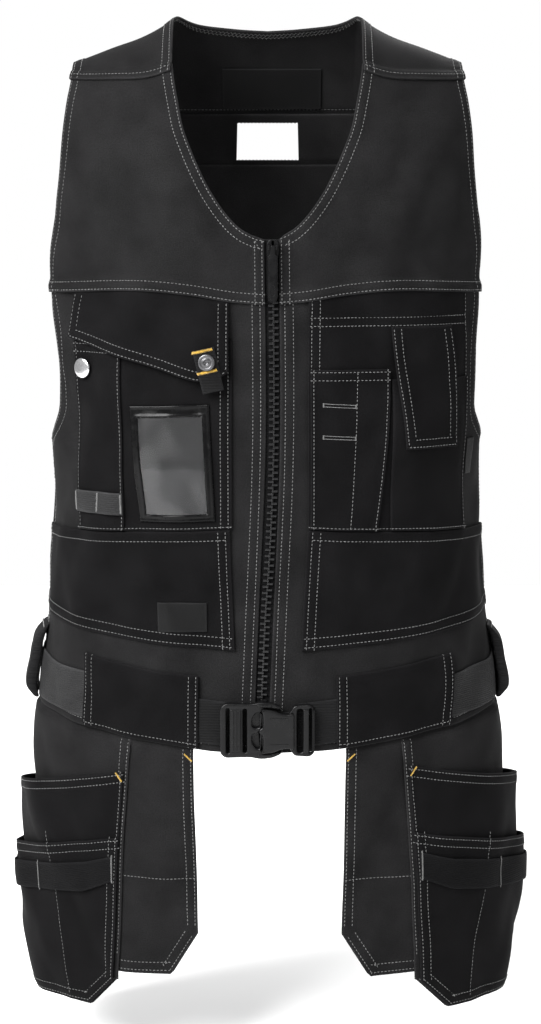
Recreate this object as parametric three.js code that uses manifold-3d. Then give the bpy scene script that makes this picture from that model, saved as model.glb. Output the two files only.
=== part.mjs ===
// Utility work vest with holster pockets, in the shape it takes when it is worn.
// Millimetres, +Z up, the front faces -Y, and the origin lies between the two shoulder straps.
// "left" is -X and "right" is +X. An arc is a length along the cloth from the front centre line,
// round the side to the back. A drop is a length down from the origin.
import * as THREE from 'three';
import { mergeVertices } from 'three/addons/utils/BufferGeometryUtils.js';
import Module from 'manifold-3d';

const wasm = await Module();
wasm.setup();

// Cloth and clearances
const clothWall = 1.6;
const pocketWall = 1.5;
const webbingWall = 1.8;
const labelWall = 1;
const clearance = 0.4;
const seamGap = 0.5;

// Body of the vest
const halfWidth = 205;
const frontDepth = 120;
const backDepth = 110;
const sectionRoundness = 2.35;
const shoulderRoundness = 2.3;
const ridgeRise = 24;
const ridgeFall = 43;
const shoulderSeamDrop = 18;
const shoulderSeamSlope = 13;
const chestSeamDrop = 227;
const chestSeamArch = 12;
const armholeDrop = 360;
const neckDrop = 173;
const neckHalfWidth = 85;
const backYokeDrop = 62;
const ventBandHeight = 48;
const ventWindowWidth = 58;
const ventWindowHeight = 36;
const ventWindowMargin = 8;
const hemDrop = 635;
const hemLift = 28;
const foldDepth = 2.4;

// Zip
const chainWidth = 8;
const chainThickness = 2.4;
const toothPitch = 12;
const zipOpening = 12;
const tapeWidth = 12;
const zipSwing = 5;
const zipEndDrop = 600;
const sliderLength = 20;
const sliderWidth = 10.6;
const sliderThickness = 5;
const sliderLift = 1;
const pullLength = 48;
const pullWidth = 8.6;
const pullThickness = 1.8;
const hingePinRadius = 1.1;
const hingeBarrelRadius = 2.5;
const hingeBarrelLength = 4;

// Chest pockets
const pocketSplitDrop = 430;
const pocketSplitSlope = 7;
const lowerPocketDrop = 543;
const lowerPocketLift = 26;
const lowerPocketInset = 29;
const chestPocketInset = 31;
const chestPocketWidth = 155;
const chestPocketBelowFlap = 12;
const chestPocketSwell = 4;
const penPocketInset = 129;
const penPocketBelowFlap = 15;
const penLoopDrop = 401;
const penLoopHeight = 20;
const flapInset = 34;
const flapWidth = 152;
const flapDrop = 299;
const flapOuterDrop = 262;
const flapLift = 4.6;
const flapEndSlant = 0.35;
const strapInset = 46;
const strapWidth = 19;
const strapDrop = 268;
const strapLength = 40;
const strapSlant = 9;
const snapRadius = 7.5;
const snapHoleRadius = 2.6;
const snapThickness = 2;
const snapDrop = 282;
const buttonRadius = 9;
const buttonFlatRadius = 7;
const buttonThickness = 2.2;
const buttonPostRadius = 3;
const buttonPostLength = 4;
const buttonArc = 170;
const buttonBelowFlap = 28;
const idFrameInset = 51;
const idFrameWidth = 71;
const idFrameDrop = 319;
const idFrameHeight = 105;
const idFrameBorder = 6.5;
const idFrameHeader = 11;
const idPaneWall = 1;
const idFrameSlant = 5;
const labelInset = 54;
const labelWidth = 43;
const labelDrop = 498;
const labelHeight = 27;
const mapPocketInset = 34;
const mapPocketWidth = 157;
const penPocketRightInset = 38;
const penPocketRightDrop = 291;
const phonePocketInset = 106;
const phonePocketBelowFlap = 43;
const phonePocketSwell = 6;
const phoneFlapInset = 113;
const phoneFlapWidth = 70;
const phoneFlapDrop = 255;
const phoneFlapHeight = 110;
const phoneFlapSlant = 10;
const sideTabArc = 197;
const sideTabWidth = 11;
const sideTabDrop = 356;
const sideTabHeight = 33;
const lowerPocketSwell = 3;

// Belt
const beltHeight = 40;
const beltDrop = 612;
const beltLift = 40;
const beltJoinArc = 164;
const webbingEndArc = 27;
const tunnelInset = 62;
const tunnelWidth = 110;
const tunnelRise = 40;
const sideLoopWidth = 40;
const sideLoopDrop = 537;
const sideLoopLength = 68;
const sideLoopStandOff = 11.5;
const buckleDrop = 612;
const buckleHalfLength = 42.5;
const buckleHalfHeight = 23;
const buckleThickness = 8;
const buckleBodyThickness = 12;
const buckleBodyLength = 29;
const buckleBodyHalfHeight = 19;
const buckleJoint = -5;
const buckleWall = 2;
const slotHalfHeight = 20.5;
const innerSlotHalfHeight = 20;
const outerBarReach = 5.5;
const outerSlotWidth = 3;
const barWidth = 12;
const innerSlotWidth = 3.5;
const webbingGap = 5.5;
const tongueHalfHeight = 6;
const tongueLength = 18;
const armHalfHeight = 26.5;
const armReach = 9;
const armRoot = 9;
const armStep = 3;
const armTaper = 1.5;
const armGap = 1;
const buckleWindowInset = 2.5;
const buckleWindowWidth = 5.9;
const buckleWindowHeight = 13;
const buckleWindowApart = 2;
const tongueThickness = 3;
const tongueRoot = 2;

// Holsters
const holsterDrop = 880;
const holsterBagDrop = 843;
const holsterBagInset = 67;
const holsterBagChamfer = 26;
const holsterBagChamferRise = 42;
const holsterBagTaper = 5;
const holsterOverlap = 26;
const holsterPanelInset = 124;
const holsterPanelSlant = 14;
const holsterPanelChamfer = 30;
const holsterWrap = 45;
const toolPocketInset = 130;
const upperPocketDrop = 655;
const upperPocketHeight = 84;
const upperPocketStandOff = 11.5;
const lowerToolPocketDrop = 715;
const lowerToolPocketStandOff = 13.5;
const rimSlope = 32;
const rimSpan = 155;
const toolPocketMargin = 4;
const toolLoopMargin = 12;
const toolLoopTopShare = 0.15;
const toolLoopBottomShare = 0.34;

// Neck label
const neckLabelWidth = 93;
const neckLabelHeight = 37;
const neckLabelDrop = 20;
const neckLabelOffset = 4;

// Mesh
const columnStep = 22.5;
const straightColumns = 8;
const shareColumns = 4;
const smallestCell = 2;
const facetSink = 0.4;

// Sections of the worn shape from above the shoulders to below the holsters.
// drop is a share of hemDrop, the others are shares of halfWidth, frontDepth and backDepth.
const sectionRows = [
  { drop: -0.11, width: 1.0, front: 0.9, back: 0.87 },
  { drop: 0.14, width: 1.0, front: 0.96, back: 0.945 },
  { drop: 0.35, width: 0.99, front: 0.99, back: 1.0 },
  { drop: 0.5, width: 0.966, front: 1.01, back: 1.02 },
  { drop: 0.61, width: 0.949, front: 1.017, back: 1.0 },
  { drop: 0.71, width: 0.966, front: 1.01, back: 0.964 },
  { drop: 0.84, width: 0.998, front: 1.017, back: 0.955 },
  { drop: 0.93, width: 1.02, front: 1.033, back: 0.973 },
  { drop: 1.02, width: 1.049, front: 1.05, back: 1.009 },
  { drop: 1.18, width: 1.06, front: 1.07, back: 1.04 },
  { drop: 1.3, width: 1.05, front: 1.075, back: 1.05 },
  { drop: 1.42, width: 1.025, front: 1.08, back: 1.05 },
];

// Top line of the shoulders: across is a share of halfWidth, fall a share of ridgeFall.
const ridgeRows = [
  { across: 0.4, fall: 0 },
  { across: 0.46, fall: 0.21 },
  { across: 0.56, fall: 0.46 },
  { across: 0.68, fall: 0.66 },
  { across: 0.87, fall: 1.0 },
];

// Seam between strap and front: across is a share of halfWidth, fall a share of shoulderSeamSlope.
const shoulderSeamRows = [
  { across: 0.38, fall: 0 },
  { across: 0.52, fall: 0.72 },
  { across: 0.68, fall: 0.9 },
  { across: 0.87, fall: 1.0 },
];

// Chest seam: across is a share of halfWidth, rise a share of chestSeamArch.
const chestSeamRows = [
  { across: 0, rise: 0 },
  { across: 0.15, rise: 0.2 },
  { across: 0.34, rise: 0.7 },
  { across: 0.56, rise: 1.0 },
  { across: 0.95, rise: 0.68 },
];

// Armhole edge: drop is a share of armholeDrop, width a share of the section's half width.
const armholeRows = [
  { drop: -0.1, width: 0.86 },
  { drop: 0.08, width: 0.862 },
  { drop: 0.15, width: 0.88 },
  { drop: 0.27, width: 0.907 },
  { drop: 0.4, width: 0.933 },
  { drop: 0.5, width: 0.948 },
  { drop: 0.57, width: 0.951 },
  { drop: 0.65, width: 0.95 },
  { drop: 0.77, width: 0.938 },
  { drop: 0.9, width: 0.944 },
  { drop: 0.95, width: 0.965 },
  { drop: 1.0, width: 1.0 },
];

// Front neckline: drop is a share of neckDrop, width a share of neckHalfWidth.
const neckRows = [
  { drop: 0, width: 1.0 },
  { drop: 0.09, width: 0.995 },
  { drop: 0.2, width: 0.97 },
  { drop: 0.32, width: 0.925 },
  { drop: 0.44, width: 0.875 },
  { drop: 0.55, width: 0.793 },
  { drop: 0.66, width: 0.696 },
  { drop: 0.78, width: 0.567 },
  { drop: 0.9, width: 0.39 },
  { drop: 0.965, width: 0.245 },
  { drop: 1.0, width: 0.1 },
];

// Back neckline: across is a share of neckHalfWidth, climb is 1 on the ridge and 2 at the chest.
const backNeckRows = [
  { across: 0, climb: 1.214 },
  { across: 0.35, climb: 1.2 },
  { across: 0.735, climb: 1.165 },
  { across: 0.87, climb: 1.12 },
  { across: 0.945, climb: 1.06 },
  { across: 1.0, climb: 1.0 },
];

// Hem and belt heights: across is a share of the arc to the side, rise of hemLift and beltLift.
const hemRows = [
  { across: 0, rise: 0 },
  { across: 0.21, rise: 0.09 },
  { across: 0.6, rise: 0.59 },
  { across: 0.93, rise: 1.0 },
  { across: 2.0, rise: 1.05 },
];
const beltRows = [
  { across: 0, rise: 0 },
  { across: 0.21, rise: 0.15 },
  { across: 0.45, rise: 0.35 },
  { across: 0.63, rise: 0.55 },
  { across: 0.8, rise: 0.66 },
  { across: 1.0, rise: 0.8 },
  { across: 2.0, rise: 1.0 },
];

// Sway of the zip line: drop is a share of zipEndDrop, shift a share of zipSwing towards +X.
const zipRows = [
  { drop: 0.28, shift: 0.8 },
  { drop: 0.6, shift: 1.0 },
  { drop: 0.88, shift: -0.4 },
  { drop: 1.0, shift: -1.0 },
];

// Soft folds: arcs are shares of halfWidth (minus is left), drops of hemDrop, width of halfWidth
// and rise of foldDepth. Each runs from the first point to the second.
const foldRows = [
  { arc: -0.9, drop: 0.2, endArc: -0.55, endDrop: 0.33, width: 0.1, rise: 0.9 },
  { arc: -0.75, drop: 0.1, endArc: -0.5, endDrop: 0.26, width: 0.09, rise: -0.7 },
  { arc: 0.85, drop: 0.07, endArc: 0.7, endDrop: 0.24, width: 0.1, rise: 1.0 },
  { arc: 0.6, drop: 0.2, endArc: 0.35, endDrop: 0.31, width: 0.1, rise: -0.6 },
  { arc: -1.25, drop: 0.62, endArc: -1.15, endDrop: 0.8, width: 0.1, rise: -0.9 },
  { arc: 1.25, drop: 0.62, endArc: 1.15, endDrop: 0.82, width: 0.1, rise: -0.9 },
  { arc: -0.6, drop: 0.7, endArc: -0.5, endDrop: 0.88, width: 0.12, rise: 0.8 },
  { arc: 0.75, drop: 0.68, endArc: 0.55, endDrop: 0.88, width: 0.12, rise: 0.8 },
];

// Flap edge: across is a share of flapWidth from the inner edge, drop a share between the drops.
const flapRows = [
  { across: 0, drop: 0.78 },
  { across: 0.06, drop: 0.94 },
  { across: 0.14, drop: 1.0 },
  { across: 0.22, drop: 0.99 },
  { across: 0.41, drop: 0.72 },
  { across: 0.66, drop: 0.25 },
  { across: 1.0, drop: 0 },
];

// Side loop: down is a share of its length, off a share of sideLoopStandOff.
const sideLoopRows = [
  { down: 0, off: 0 },
  { down: 0.2, off: 0.75 },
  { down: 0.5, off: 0.9 },
  { down: 0.85, off: 1.0 },
  { down: 1, off: 0.3 },
];

// What differs between the two holsters: shifts of edges and of the outward swing.
const holsterSides = {
  left: { side: -1, shift: 0, flare: 0, lift: 0, bag: 0 },
  right: { side: 1, shift: -2, flare: 7, lift: 5, bag: 4 },
};

const canvas = new THREE.MeshStandardMaterial({ color: 0x2c2d2f, roughness: 0.92 });
const heavyCanvas = new THREE.MeshStandardMaterial({ color: 0x1b1c1e, roughness: 0.95 });
const lining = new THREE.MeshStandardMaterial({ color: 0x141416, roughness: 0.95 });
const webbing = new THREE.MeshStandardMaterial({ color: 0x1e1f21, roughness: 0.8 });
const blackPlastic = new THREE.MeshStandardMaterial({ color: 0x101113, roughness: 0.45 });
const clearPlastic = new THREE.MeshStandardMaterial({
  color: 0x8b8f94, roughness: 0.15, transparent: true, opacity: 0.5,
});
const steel = new THREE.MeshStandardMaterial({ color: 0xc8c9cb, roughness: 0.25, metalness: 1 });
const darkMetal = new THREE.MeshStandardMaterial({ color: 0x3a3b3d, roughness: 0.4, metalness: 0.8 });
const labelCloth = new THREE.MeshStandardMaterial({ color: 0x0c0c0d, roughness: 0.7 });

const vest = new THREE.Group();

function addMesh(name, geometry, material, owner = vest) {
  const mesh = new THREE.Mesh(geometry, material);
  mesh.name = name;
  owner.add(mesh);
  return mesh;
}

function blend(from, to, share) {
  return from + (to - from) * share;
}

function limited(value) {
  return Math.min(Math.max(value, 0), 1);
}

// Smooth curve through the rows of a table.
function readTable(rows, key, value, at) {
  const last = rows.length - 1;
  if (at <= rows[0][key]) {
    return rows[0][value];
  }
  if (at >= rows[last][key]) {
    return rows[last][value];
  }
  let row = 0;
  while (at > rows[row + 1][key]) {
    row += 1;
  }
  const slope = (index) => {
    const before = rows[Math.max(index - 1, 0)];
    const after = rows[Math.min(index + 1, last)];
    return (after[value] - before[value]) / (after[key] - before[key]);
  };
  const span = rows[row + 1][key] - rows[row][key];
  const t = (at - rows[row][key]) / span;
  const rest = 1 - t;
  return rows[row][value] * (1 + 2 * t) * rest * rest
    + slope(row) * span * t * rest * rest
    + rows[row + 1][value] * t * t * (3 - 2 * t)
    - slope(row + 1) * span * t * t * rest;
}

// The worn shape: closed sections that lean in towards the shoulder ridge above the chest seam.
function sectionAt(height) {
  const drop = -height / hemDrop;
  return {
    width: halfWidth * readTable(sectionRows, 'drop', 'width', drop),
    front: frontDepth * readTable(sectionRows, 'drop', 'front', drop),
    back: backDepth * readTable(sectionRows, 'drop', 'back', drop),
  };
}

function sectionPlace(section, angle) {
  const power = 2 / sectionRoundness;
  const ahead = Math.cos(angle);
  const depth = ahead > 0 ? -section.front : section.back;
  return {
    x: section.width * Math.sin(angle) ** power,
    y: depth * Math.abs(ahead) ** power,
  };
}

const rings = new Map();
const ringSteps = 96;

// Arc lengths round one half of the section at a height, from the front centre to the back centre.
function ringAt(height) {
  const key = height.toFixed(2);
  if (!rings.has(key)) {
    const section = sectionAt(height);
    const lengths = [0];
    let before = sectionPlace(section, 0);
    for (let step = 1; step <= ringSteps; step += 1) {
      const place = sectionPlace(section, Math.min(Math.PI * step / ringSteps, Math.PI - 1e-9));
      lengths.push(lengths[step - 1] + Math.hypot(place.x - before.x, place.y - before.y));
      before = place;
    }
    rings.set(key, { section, lengths, side: lengths[ringSteps / 2], half: lengths[ringSteps] });
  }
  return rings.get(key);
}

function ringAngle(ring, arc) {
  const goal = Math.min(Math.max(arc, 0), ring.half - 1e-6);
  let step = 0;
  while (step < ringSteps - 1 && ring.lengths[step + 1] < goal) {
    step += 1;
  }
  const share = (goal - ring.lengths[step]) / (ring.lengths[step + 1] - ring.lengths[step]);
  return Math.min(Math.PI * (step + share) / ringSteps, Math.PI - 1e-9);
}

function sideArc(height) {
  return ringAt(height).side;
}

function halfArc(height) {
  return ringAt(height).half;
}

// Arc on the front half at which the section reaches a given x.
function arcOfX(x, height) {
  const ring = ringAt(height);
  const across = Math.min(Math.abs(x) / ring.section.width, 1);
  const angle = Math.asin(across ** (sectionRoundness / 2));
  const at = angle / Math.PI * ringSteps;
  const step = Math.min(Math.floor(at), ringSteps - 1);
  const arc = blend(ring.lengths[step], ring.lengths[step + 1], at - step);
  return x < 0 ? -arc : arc;
}

function ridgeHeight(x) {
  const fall = readTable(ridgeRows, 'across', 'fall', Math.abs(x) / halfWidth);
  return ridgeRise - ridgeFall * fall;
}

function chestSeamHeight(x) {
  const rise = readTable(chestSeamRows, 'across', 'rise', Math.abs(x) / halfWidth);
  return -chestSeamDrop + chestSeamArch * rise;
}

function shoulderSeamHeight(x) {
  const fall = readTable(shoulderSeamRows, 'across', 'fall', Math.abs(x) / halfWidth);
  return -shoulderSeamDrop - shoulderSeamSlope * fall;
}

// 1 up to the chest seam, and 0 on the shoulder ridge.
function leanShare(x, height) {
  const low = chestSeamHeight(x);
  const rise = limited((height - low) / (ridgeHeight(x) - low));
  return (1 - rise ** shoulderRoundness) ** (1 / shoulderRoundness);
}

function basePlace(arc, height) {
  const ring = ringAt(height);
  const beyond = arc > ring.half;
  const near = beyond ? 2 * ring.half - arc : Math.abs(arc);
  const place = sectionPlace(ring.section, ringAngle(ring, near));
  const flip = beyond || arc < 0 ? -1 : 1;
  return new THREE.Vector3(flip * place.x, place.y * leanShare(place.x, height), height);
}

// How far the folds push the cloth outwards.
function foldRise(arc, height) {
  let rise = 0;
  for (const fold of foldRows) {
    const start = new THREE.Vector2(fold.arc * halfWidth, fold.drop * hemDrop);
    const along = new THREE.Vector2(fold.endArc * halfWidth, fold.endDrop * hemDrop).sub(start);
    const from = new THREE.Vector2(arc, -height).sub(start);
    const length = along.length();
    const share = from.dot(along) / (length * length);
    const aside = from.cross(along) / length / (fold.width * halfWidth);
    const fade = Math.exp(-((2 * share - 1) ** 4));
    rise += foldDepth * fold.rise * fade * Math.exp(-aside * aside);
  }
  return rise;
}

// A place on the cloth's inner face and the outward direction there.
function bodyFrame(arc, height) {
  const reach = 6;
  const lift = 3;
  const across = basePlace(arc + reach, height).sub(basePlace(arc - reach, height));
  const up = basePlace(arc, height + lift).sub(basePlace(arc, height - lift));
  const normal = across.cross(up).normalize();
  const place = basePlace(arc, height).addScaledVector(normal, foldRise(arc, height));
  return { place, normal };
}

// The same shape over the shoulder: climb is 0 at the chest seam in front, 1 on the ridge, 2 behind.
function shoulderPlace(x, climb) {
  const turn = climb * Math.PI / 2;
  const low = chestSeamHeight(x);
  const rise = Math.sin(turn) ** (2 / shoulderRoundness);
  const height = blend(low, ridgeHeight(x), rise);
  const section = sectionAt(height);
  const ahead = Math.cos(turn);
  const depth = ahead > 0 ? -section.front : section.back;
  const across = Math.min(Math.abs(x) / section.width, 1);
  const share = (1 - across ** sectionRoundness) ** (1 / sectionRoundness);
  const lean = Math.abs(ahead) ** (2 / shoulderRoundness);
  return new THREE.Vector3(x, depth * share * lean, height);
}

function shoulderFrame(x, climb) {
  const reach = 4;
  const turn = 0.03;
  const across = shoulderPlace(x + reach, climb).sub(shoulderPlace(x - reach, climb));
  const along = shoulderPlace(x, climb + turn).sub(shoulderPlace(x, climb - turn));
  const normal = across.cross(along).normalize();
  const place = shoulderPlace(x, climb);
  if (climb < 1) {
    place.addScaledVector(normal, foldRise(x, place.z));
  }
  return { place, normal };
}

function climbOfHeight(x, height, behind) {
  const low = chestSeamHeight(x);
  const rise = limited((height - low) / (ridgeHeight(x) - low));
  const turn = Math.asin(rise ** (shoulderRoundness / 2)) / (Math.PI / 2);
  return behind ? 2 - turn : turn;
}

// Edges that several pieces share
function zipLine(height) {
  return zipSwing * readTable(zipRows, 'drop', 'shift', -height / zipEndDrop);
}

function armholeX(height) {
  const share = readTable(armholeRows, 'drop', 'width', -height / armholeDrop);
  return sectionAt(height).width * share;
}

function frontEdgeArc(height) {
  return -height < armholeDrop ? arcOfX(armholeX(height), height) : sideArc(height);
}

function backEdgeArc(height) {
  if (-height >= armholeDrop) {
    return sideArc(height);
  }
  const ring = ringAt(height);
  const across = Math.min(armholeX(height) / ring.section.width, 1);
  const angle = Math.PI - Math.asin(across ** (sectionRoundness / 2));
  const at = angle / Math.PI * ringSteps;
  const step = Math.min(Math.floor(at), ringSteps - 1);
  return blend(ring.lengths[step], ring.lengths[step + 1], at - step);
}

function riseAlong(rows, arc, height) {
  const half = halfArc(height);
  const side = sideArc(height);
  const near = arc > half ? 2 * half - arc : Math.abs(arc);
  const across = near < side ? near / side : 1 + (near - side) / (half - side);
  return readTable(rows, 'across', 'rise', across);
}

function hemHeight(arc) {
  return -hemDrop + hemLift * riseAlong(hemRows, arc, -hemDrop);
}

function beltMiddle(arc) {
  return -beltDrop + beltLift * riseAlong(beltRows, arc, -beltDrop);
}

function pocketSplitHeight(arc) {
  return -pocketSplitDrop - pocketSplitSlope * Math.abs(arc) / chestPocketWidth;
}

// Column lines that all pieces share, so that layers lie parallel.
function columnLines() {
  const straight = columnStep * straightColumns;
  const lines = [];
  for (let column = 1; column <= straightColumns; column += 1) {
    lines.push(() => columnStep * column);
  }
  for (let column = 1; column < shareColumns; column += 1) {
    lines.push((height) => blend(straight, frontEdgeArc(height), column / shareColumns));
  }
  lines.push((height) => sideArc(height));
  for (let column = 1; column < shareColumns; column += 1) {
    lines.push((height) => blend(backEdgeArc(height), halfArc(height) - straight, column / shareColumns));
  }
  for (let column = straightColumns; column >= 1; column -= 1) {
    lines.push((height) => halfArc(height) - columnStep * column);
  }
  const mirrored = lines.map((line) => (height) => 2 * halfArc(height) - line(height)).reverse();
  return [...lines, halfArc, ...mirrored];
}

const sharedLines = columnLines();

function columnsBetween(start, end, extra, heights, sharedFrom = 0) {
  const own = [start, ...extra, end];
  const middle = heights[Math.floor(heights.length / 2)];
  const inside = sharedLines.filter((line) => heights.every((height) => {
    const at = line(height);
    const clear = own.every((edge) => Math.abs(edge(height) - at) > smallestCell);
    return clear && at > Math.max(start(height), sharedFrom) && at < end(height);
  }));
  return [...own, ...inside].sort((one, other) => one(middle) - other(middle));
}

// Lines that divide the cloth between an edge and a fixed arc, the arc's own line included.
function sharesTo(edge, arc, count) {
  const shares = Array.from({ length: count }, (unused, number) => (number + 1) / count);
  return shares.map((share) => (height) => blend(edge(height), arc, share));
}

// A closed wall on a grid of places. offsets(column, row) gives its inner and outer offsets.
function gridWall(columnCount, rowCount, frameAt, offsets, keep) {
  const positions = [];
  const numbers = new Map();
  const index = [];
  const node = (column, row, layer) => {
    const key = `${column} ${row} ${layer}`;
    if (!numbers.has(key)) {
      const { place, normal } = frameAt(column, row);
      const point = place.clone().addScaledVector(normal, offsets(column, row)[layer]);
      numbers.set(key, positions.length / 3);
      positions.push(point.x, point.y, point.z);
    }
    return numbers.get(key);
  };
  const kept = (column, row) => column >= 0 && row >= 0
    && column < columnCount - 1 && row < rowCount - 1 && keep(column, row);
  const quad = (a, b, c, d) => index.push(a, b, c, a, c, d);
  for (let column = 0; column < columnCount - 1; column += 1) {
    for (let row = 0; row < rowCount - 1; row += 1) {
      if (!kept(column, row)) {
        continue;
      }
      const corners = [[column, row], [column + 1, row], [column + 1, row + 1], [column, row + 1]];
      const inner = corners.map(([i, j]) => node(i, j, 0));
      const outer = corners.map(([i, j]) => node(i, j, 1));
      quad(...outer);
      quad(inner[0], inner[3], inner[2], inner[1]);
      const sides = [[0, -1], [1, 0], [0, 1], [-1, 0]];
      sides.forEach(([stepColumn, stepRow], side) => {
        if (!kept(column + stepColumn, row + stepRow)) {
          const next = (side + 1) % 4;
          quad(inner[side], inner[next], outer[next], outer[side]);
        }
      });
    }
  }
  return closedGeometry(positions, index);
}

// Turns the faces out where the enclosed volume comes out negative.
function closedGeometry(positions, index) {
  let volume = 0;
  const corner = (number) => new THREE.Vector3().fromArray(positions, 3 * number);
  for (let at = 0; at < index.length; at += 3) {
    volume += corner(index[at]).dot(corner(index[at + 1]).cross(corner(index[at + 2])));
  }
  const turned = [];
  for (let at = 0; at < index.length; at += 3) {
    const [a, b, c] = index.slice(at, at + 3);
    turned.push(...(volume > 0 ? [a, b, c] : [a, c, b]));
  }
  const geometry = new THREE.BufferGeometry();
  geometry.setAttribute('position', new THREE.Float32BufferAttribute(positions, 3));
  geometry.setIndex(turned);
  geometry.computeVertexNormals();
  return geometry;
}

// A cloth piece on the body between two arcs and two heights, which may vary along each other.
function clothPatch(name, material, piece) {
  const { side = 1, start, end, top, bottom, rows, wall, extra = [], keep = () => true } = piece;
  const middleArc = (start(-chestSeamDrop) + end(-chestSeamDrop)) / 2;
  const heights = [0, 0.25, 0.5, 0.75, 1].map((share) => blend(top(middleArc), bottom(middleArc), share));
  const columns = columnsBetween(start, end, extra, heights, piece.sharedFrom);
  const spots = columns.map((column) => rows.map((row) => {
    let height = heights[2];
    let arc = column(height);
    for (let round = 0; round < 8; round += 1) {
      height = blend(top(arc), bottom(arc), row);
      arc = column(height);
    }
    return { arc, height };
  }));
  const frameAt = (column, row) => {
    const { arc, height } = spots[column][row];
    const { place, normal } = bodyFrame(side * arc, height);
    if (side < 0 && arc > halfArc(height)) {
      throw new Error(`${name} passes the back centre`);
    }
    return { place, normal };
  };
  const offsets = (column, row) => {
    const { arc, height } = spots[column][row];
    const across = limited((arc - start(height)) / (end(height) - start(height)));
    const inner = piece.inner({ arc, height, across, down: rows[row] });
    return [inner, inner + wall];
  };
  const geometry = gridWall(columns.length, rows.length, frameAt, offsets, keep);
  return addMesh(name, geometry, material);
}

function evenRows(count) {
  return Array.from({ length: count + 1 }, (unused, row) => row / count);
}

function always(value) {
  return () => value;
}

function lift(level) {
  return clothWall + clearance + level * (pocketWall + clearance);
}

// Height of a swelling pocket above its flat place, zero at its sewn edges.
function swellAt(pocket, arc, height) {
  const across = limited((arc - pocket.start(height)) / (pocket.end(height) - pocket.start(height)));
  const down = limited((pocket.top(arc) - height) / (pocket.top(arc) - pocket.bottom(arc)));
  return pocket.swell * Math.sin(Math.PI * across) * Math.sin(Math.PI * down);
}

// Body panels
function addFrontPanels(name, side) {
  const zipEdge = (height) => side * zipLine(height) + zipOpening / 2;
  const neckEdge = (height) => {
    if (-height >= neckDrop) {
      return zipEdge(height);
    }
    const share = readTable(neckRows, 'drop', 'width', -height / neckDrop);
    return Math.max(arcOfX(neckHalfWidth * share, height), zipEdge(height));
  };
  const xOfArc = (arc) => basePlace(arc, -chestSeamDrop).x;
  clothPatch(`front_upper_${name}`, canvas, {
    side,
    start: neckEdge,
    end: frontEdgeArc,
    top: (arc) => shoulderSeamHeight(xOfArc(arc)) - seamGap / 2,
    bottom: (arc) => chestSeamHeight(xOfArc(arc)) + seamGap / 2,
    rows: [0, 0.1, 0.21, 0.32, 0.43, 0.53, 0.62, 0.68, 0.72, 0.745, 0.87, 1],
    extra: sharesTo(neckEdge, 5 * columnStep, 4),
    sharedFrom: 5 * columnStep,
    wall: clothWall,
    inner: always(0),
  });
  clothPatch(`front_lower_${name}`, canvas, {
    side,
    start: zipEdge,
    end: (height) => frontEdgeArc(height) - seamGap / 2,
    top: (arc) => chestSeamHeight(xOfArc(arc)) - seamGap / 2,
    bottom: hemHeight,
    rows: [0, 0.08, 0.15, 0.21, 0.268, 0.314, 0.343, 0.3634, 0.41, 0.48, 0.56, 0.64, 0.72, 0.8, 0.87, 0.94, 1],
    wall: clothWall,
    inner: always(0),
  });
}

function addBackPanels() {
  const start = (height) => backEdgeArc(height) + seamGap / 2;
  const end = (height) => 2 * halfArc(height) - start(height);
  const bandTop = -backYokeDrop - seamGap / 2;
  const bandBottom = -backYokeDrop - ventBandHeight + seamGap / 2;
  const windowTop = ventWindowMargin / ventBandHeight;
  const windowBottom = (ventWindowMargin + ventWindowHeight) / ventBandHeight;
  const windowEdges = [-1, 1].map((way) => (height) => halfArc(height) + way * ventWindowWidth / 2);
  const bandHeights = evenRows(4).map((share) => blend(bandTop, bandBottom, share));
  const columns = columnsBetween(start, end, windowEdges, bandHeights);
  const [firstColumn, lastColumn] = windowEdges.map((edge) => columns.indexOf(edge));
  clothPatch('back_vent_band', canvas, {
    start,
    end,
    top: always(bandTop),
    bottom: always(bandBottom),
    rows: [0, windowTop, windowBottom, 1],
    extra: windowEdges,
    keep: (column, row) => column < firstColumn || column >= lastColumn || row !== 1,
    wall: clothWall,
    inner: always(0),
  });
  clothPatch('back_lower', canvas, {
    start,
    end,
    top: always(-backYokeDrop - ventBandHeight - seamGap / 2),
    bottom: hemHeight,
    rows: [0, 0.07, 0.14, 0.21, 0.28, 0.35, 0.41, 0.46, 0.5, 0.57, 0.66, 0.75, 0.84, 0.92, 1],
    wall: clothWall,
    inner: always(0),
  });
}

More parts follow.
